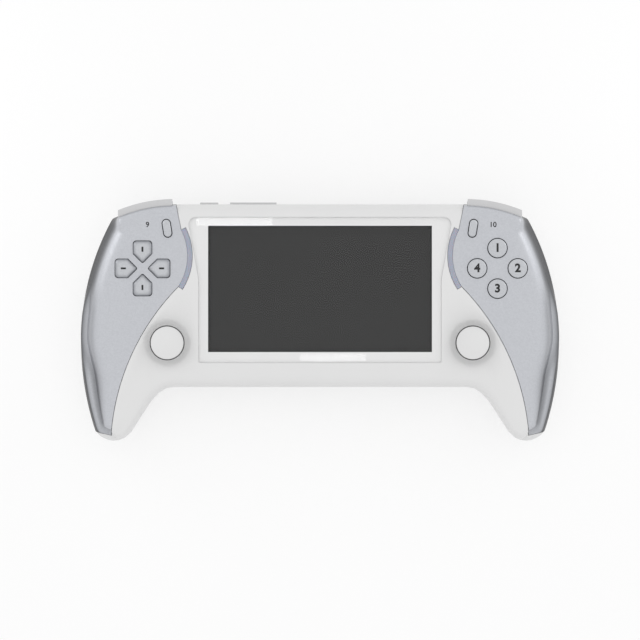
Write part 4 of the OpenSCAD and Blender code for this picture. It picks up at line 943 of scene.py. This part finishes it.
screws = grown("cross_screws", tree, {
    "Head radius": 1.8 * mm, "Head height": head_h * mm, "Thread radius": 0.9 * mm,
    "Thread length": screw_high.z - screw_low.z - head_h * mm, "Recess width": 0.55 * mm,
    "Recess depth": 0.8 * mm}, places)
fit(screws, nickel, "case", "steel", "case_screws")


# Floor and backdrop: a seamless white sheet that keeps the soft shadow.
# Painted card with a faint mottle, lifted towards white for the camera, gloss and glass.
def to_the_eye(tree):
    """1 for rays that end in the camera, straight or over gloss or glass, and 0 for others."""
    rays = add(tree, "ShaderNodeLightPath", {})
    seen = rays.outputs["Is Camera Ray"]
    for kind in ("Is Glossy Ray", "Is Transmission Ray"):
        seen = add(tree, "ShaderNodeMath", {0: seen, 1: rays.outputs[kind]}, operation="MAXIMUM").outputs[0]
    return seen


card, tree, shader = mottled("white_painted_card", {"Roughness": 0.9}, 120, 2, "#F4F4F4", "#F8F8F8")[:3]
seen = add(tree, "ShaderNodeMath", {0: to_the_eye(tree), 1: 0.65}, operation="MULTIPLY")
white = add(tree, "ShaderNodeEmission", {"Color": colour("#FFFFFF"), "Strength": 1})
both = add(tree, "ShaderNodeMixShader", {0: seen.outputs[0], 1: shader.outputs[0], 2: white.outputs[0]})
feed(tree, tree.nodes["Material Output"], {"Surface": both.outputs[0]})
floor_half, floor_z = 3000, -0.2
corners = [(x * floor_half, y * floor_half, floor_z) for x, y in ((-1, -1), (1, -1), (1, 1), (-1, 1))]
floor = piece("floor", corners, [[0, 1, 2, 3]])
floor.data.materials.append(card)

# Studio light: a pale dome that is brighter overhead, a small lit card beside each
# upper flank that draws the highlight along it, and two narrow strips beside the
# lens whose reflections lie on the window's border.
world = bpy.data.worlds.new("studio")
bpy.context.scene.world = world
world.use_nodes = True
tree = world.node_tree
sky = tree.nodes["Background"]
way = add(tree, "ShaderNodeSeparateXYZ", {
    "Vector": add(tree, "ShaderNodeTexCoord", {}).outputs["Generated"]})
dome = add(tree, "ShaderNodeMapRange", {
    "Value": way.outputs["Z"], "From Min": 0, "From Max": 1, "To Min": 0.75, "To Max": 1.13})
level = add(tree, "ShaderNodeMix", {"Factor": to_the_eye(tree), "A": dome.outputs["Result"], "B": 1.0})
feed(tree, sky, {"Color": colour("#FFFFFF"), "Strength": level.outputs["Result"]})

for name, x, y, z, wide, long, level, aim in (
        ("left_card", -0.25, 0.13, 0.1, 0.1, 0.14, 0.85, (-0.09, 0.03, 0.028)),
        ("right_card", 0.25, 0.13, 0.1, 0.1, 0.14, 0.85, (0.09, 0.03, 0.028)),
        ("upper_strip", -0.0715, 0.0828, 2.9, 0.0635, 0.0083, 10, (-0.0715, 0.0828, 0)),
        ("lower_strip", 0.0108, -0.0314, 2.9, 0.0543, 0.0057, 10, (0.0108, -0.0314, 0))):
    lamp = bpy.data.lights.new(name, "AREA")
    lamp.shape = "RECTANGLE"
    lamp.size, lamp.size_y = wide, long
    lamp.energy = level * math.pi * wide * long
    stand = bpy.data.objects.new(name, lamp)
    stand.location = (x, y, z)
    stand.visible_camera = False
    stand.rotation_euler = (Vector(aim) - stand.location).to_track_quat("-Z", "Y").to_euler()
    bpy.context.scene.collection.objects.link(stand)

# Camera: straight above the console on a long lens, as the photograph looks.
lens = bpy.data.cameras.new("camera")
lens.sensor_width = 36
reach, view_z, view_w = 3.0, 0.025, 0.272
lens.lens = lens.sensor_width * (reach - view_z) / view_w
lens.clip_end = 20
eye = bpy.data.objects.new("camera", lens)
eye.location = (0, 0, reach)
bpy.context.scene.collection.objects.link(eye)
bpy.context.scene.camera = eye
bpy.context.scene.view_settings.view_transform = "Standard"

bpy.context.view_layer.update()
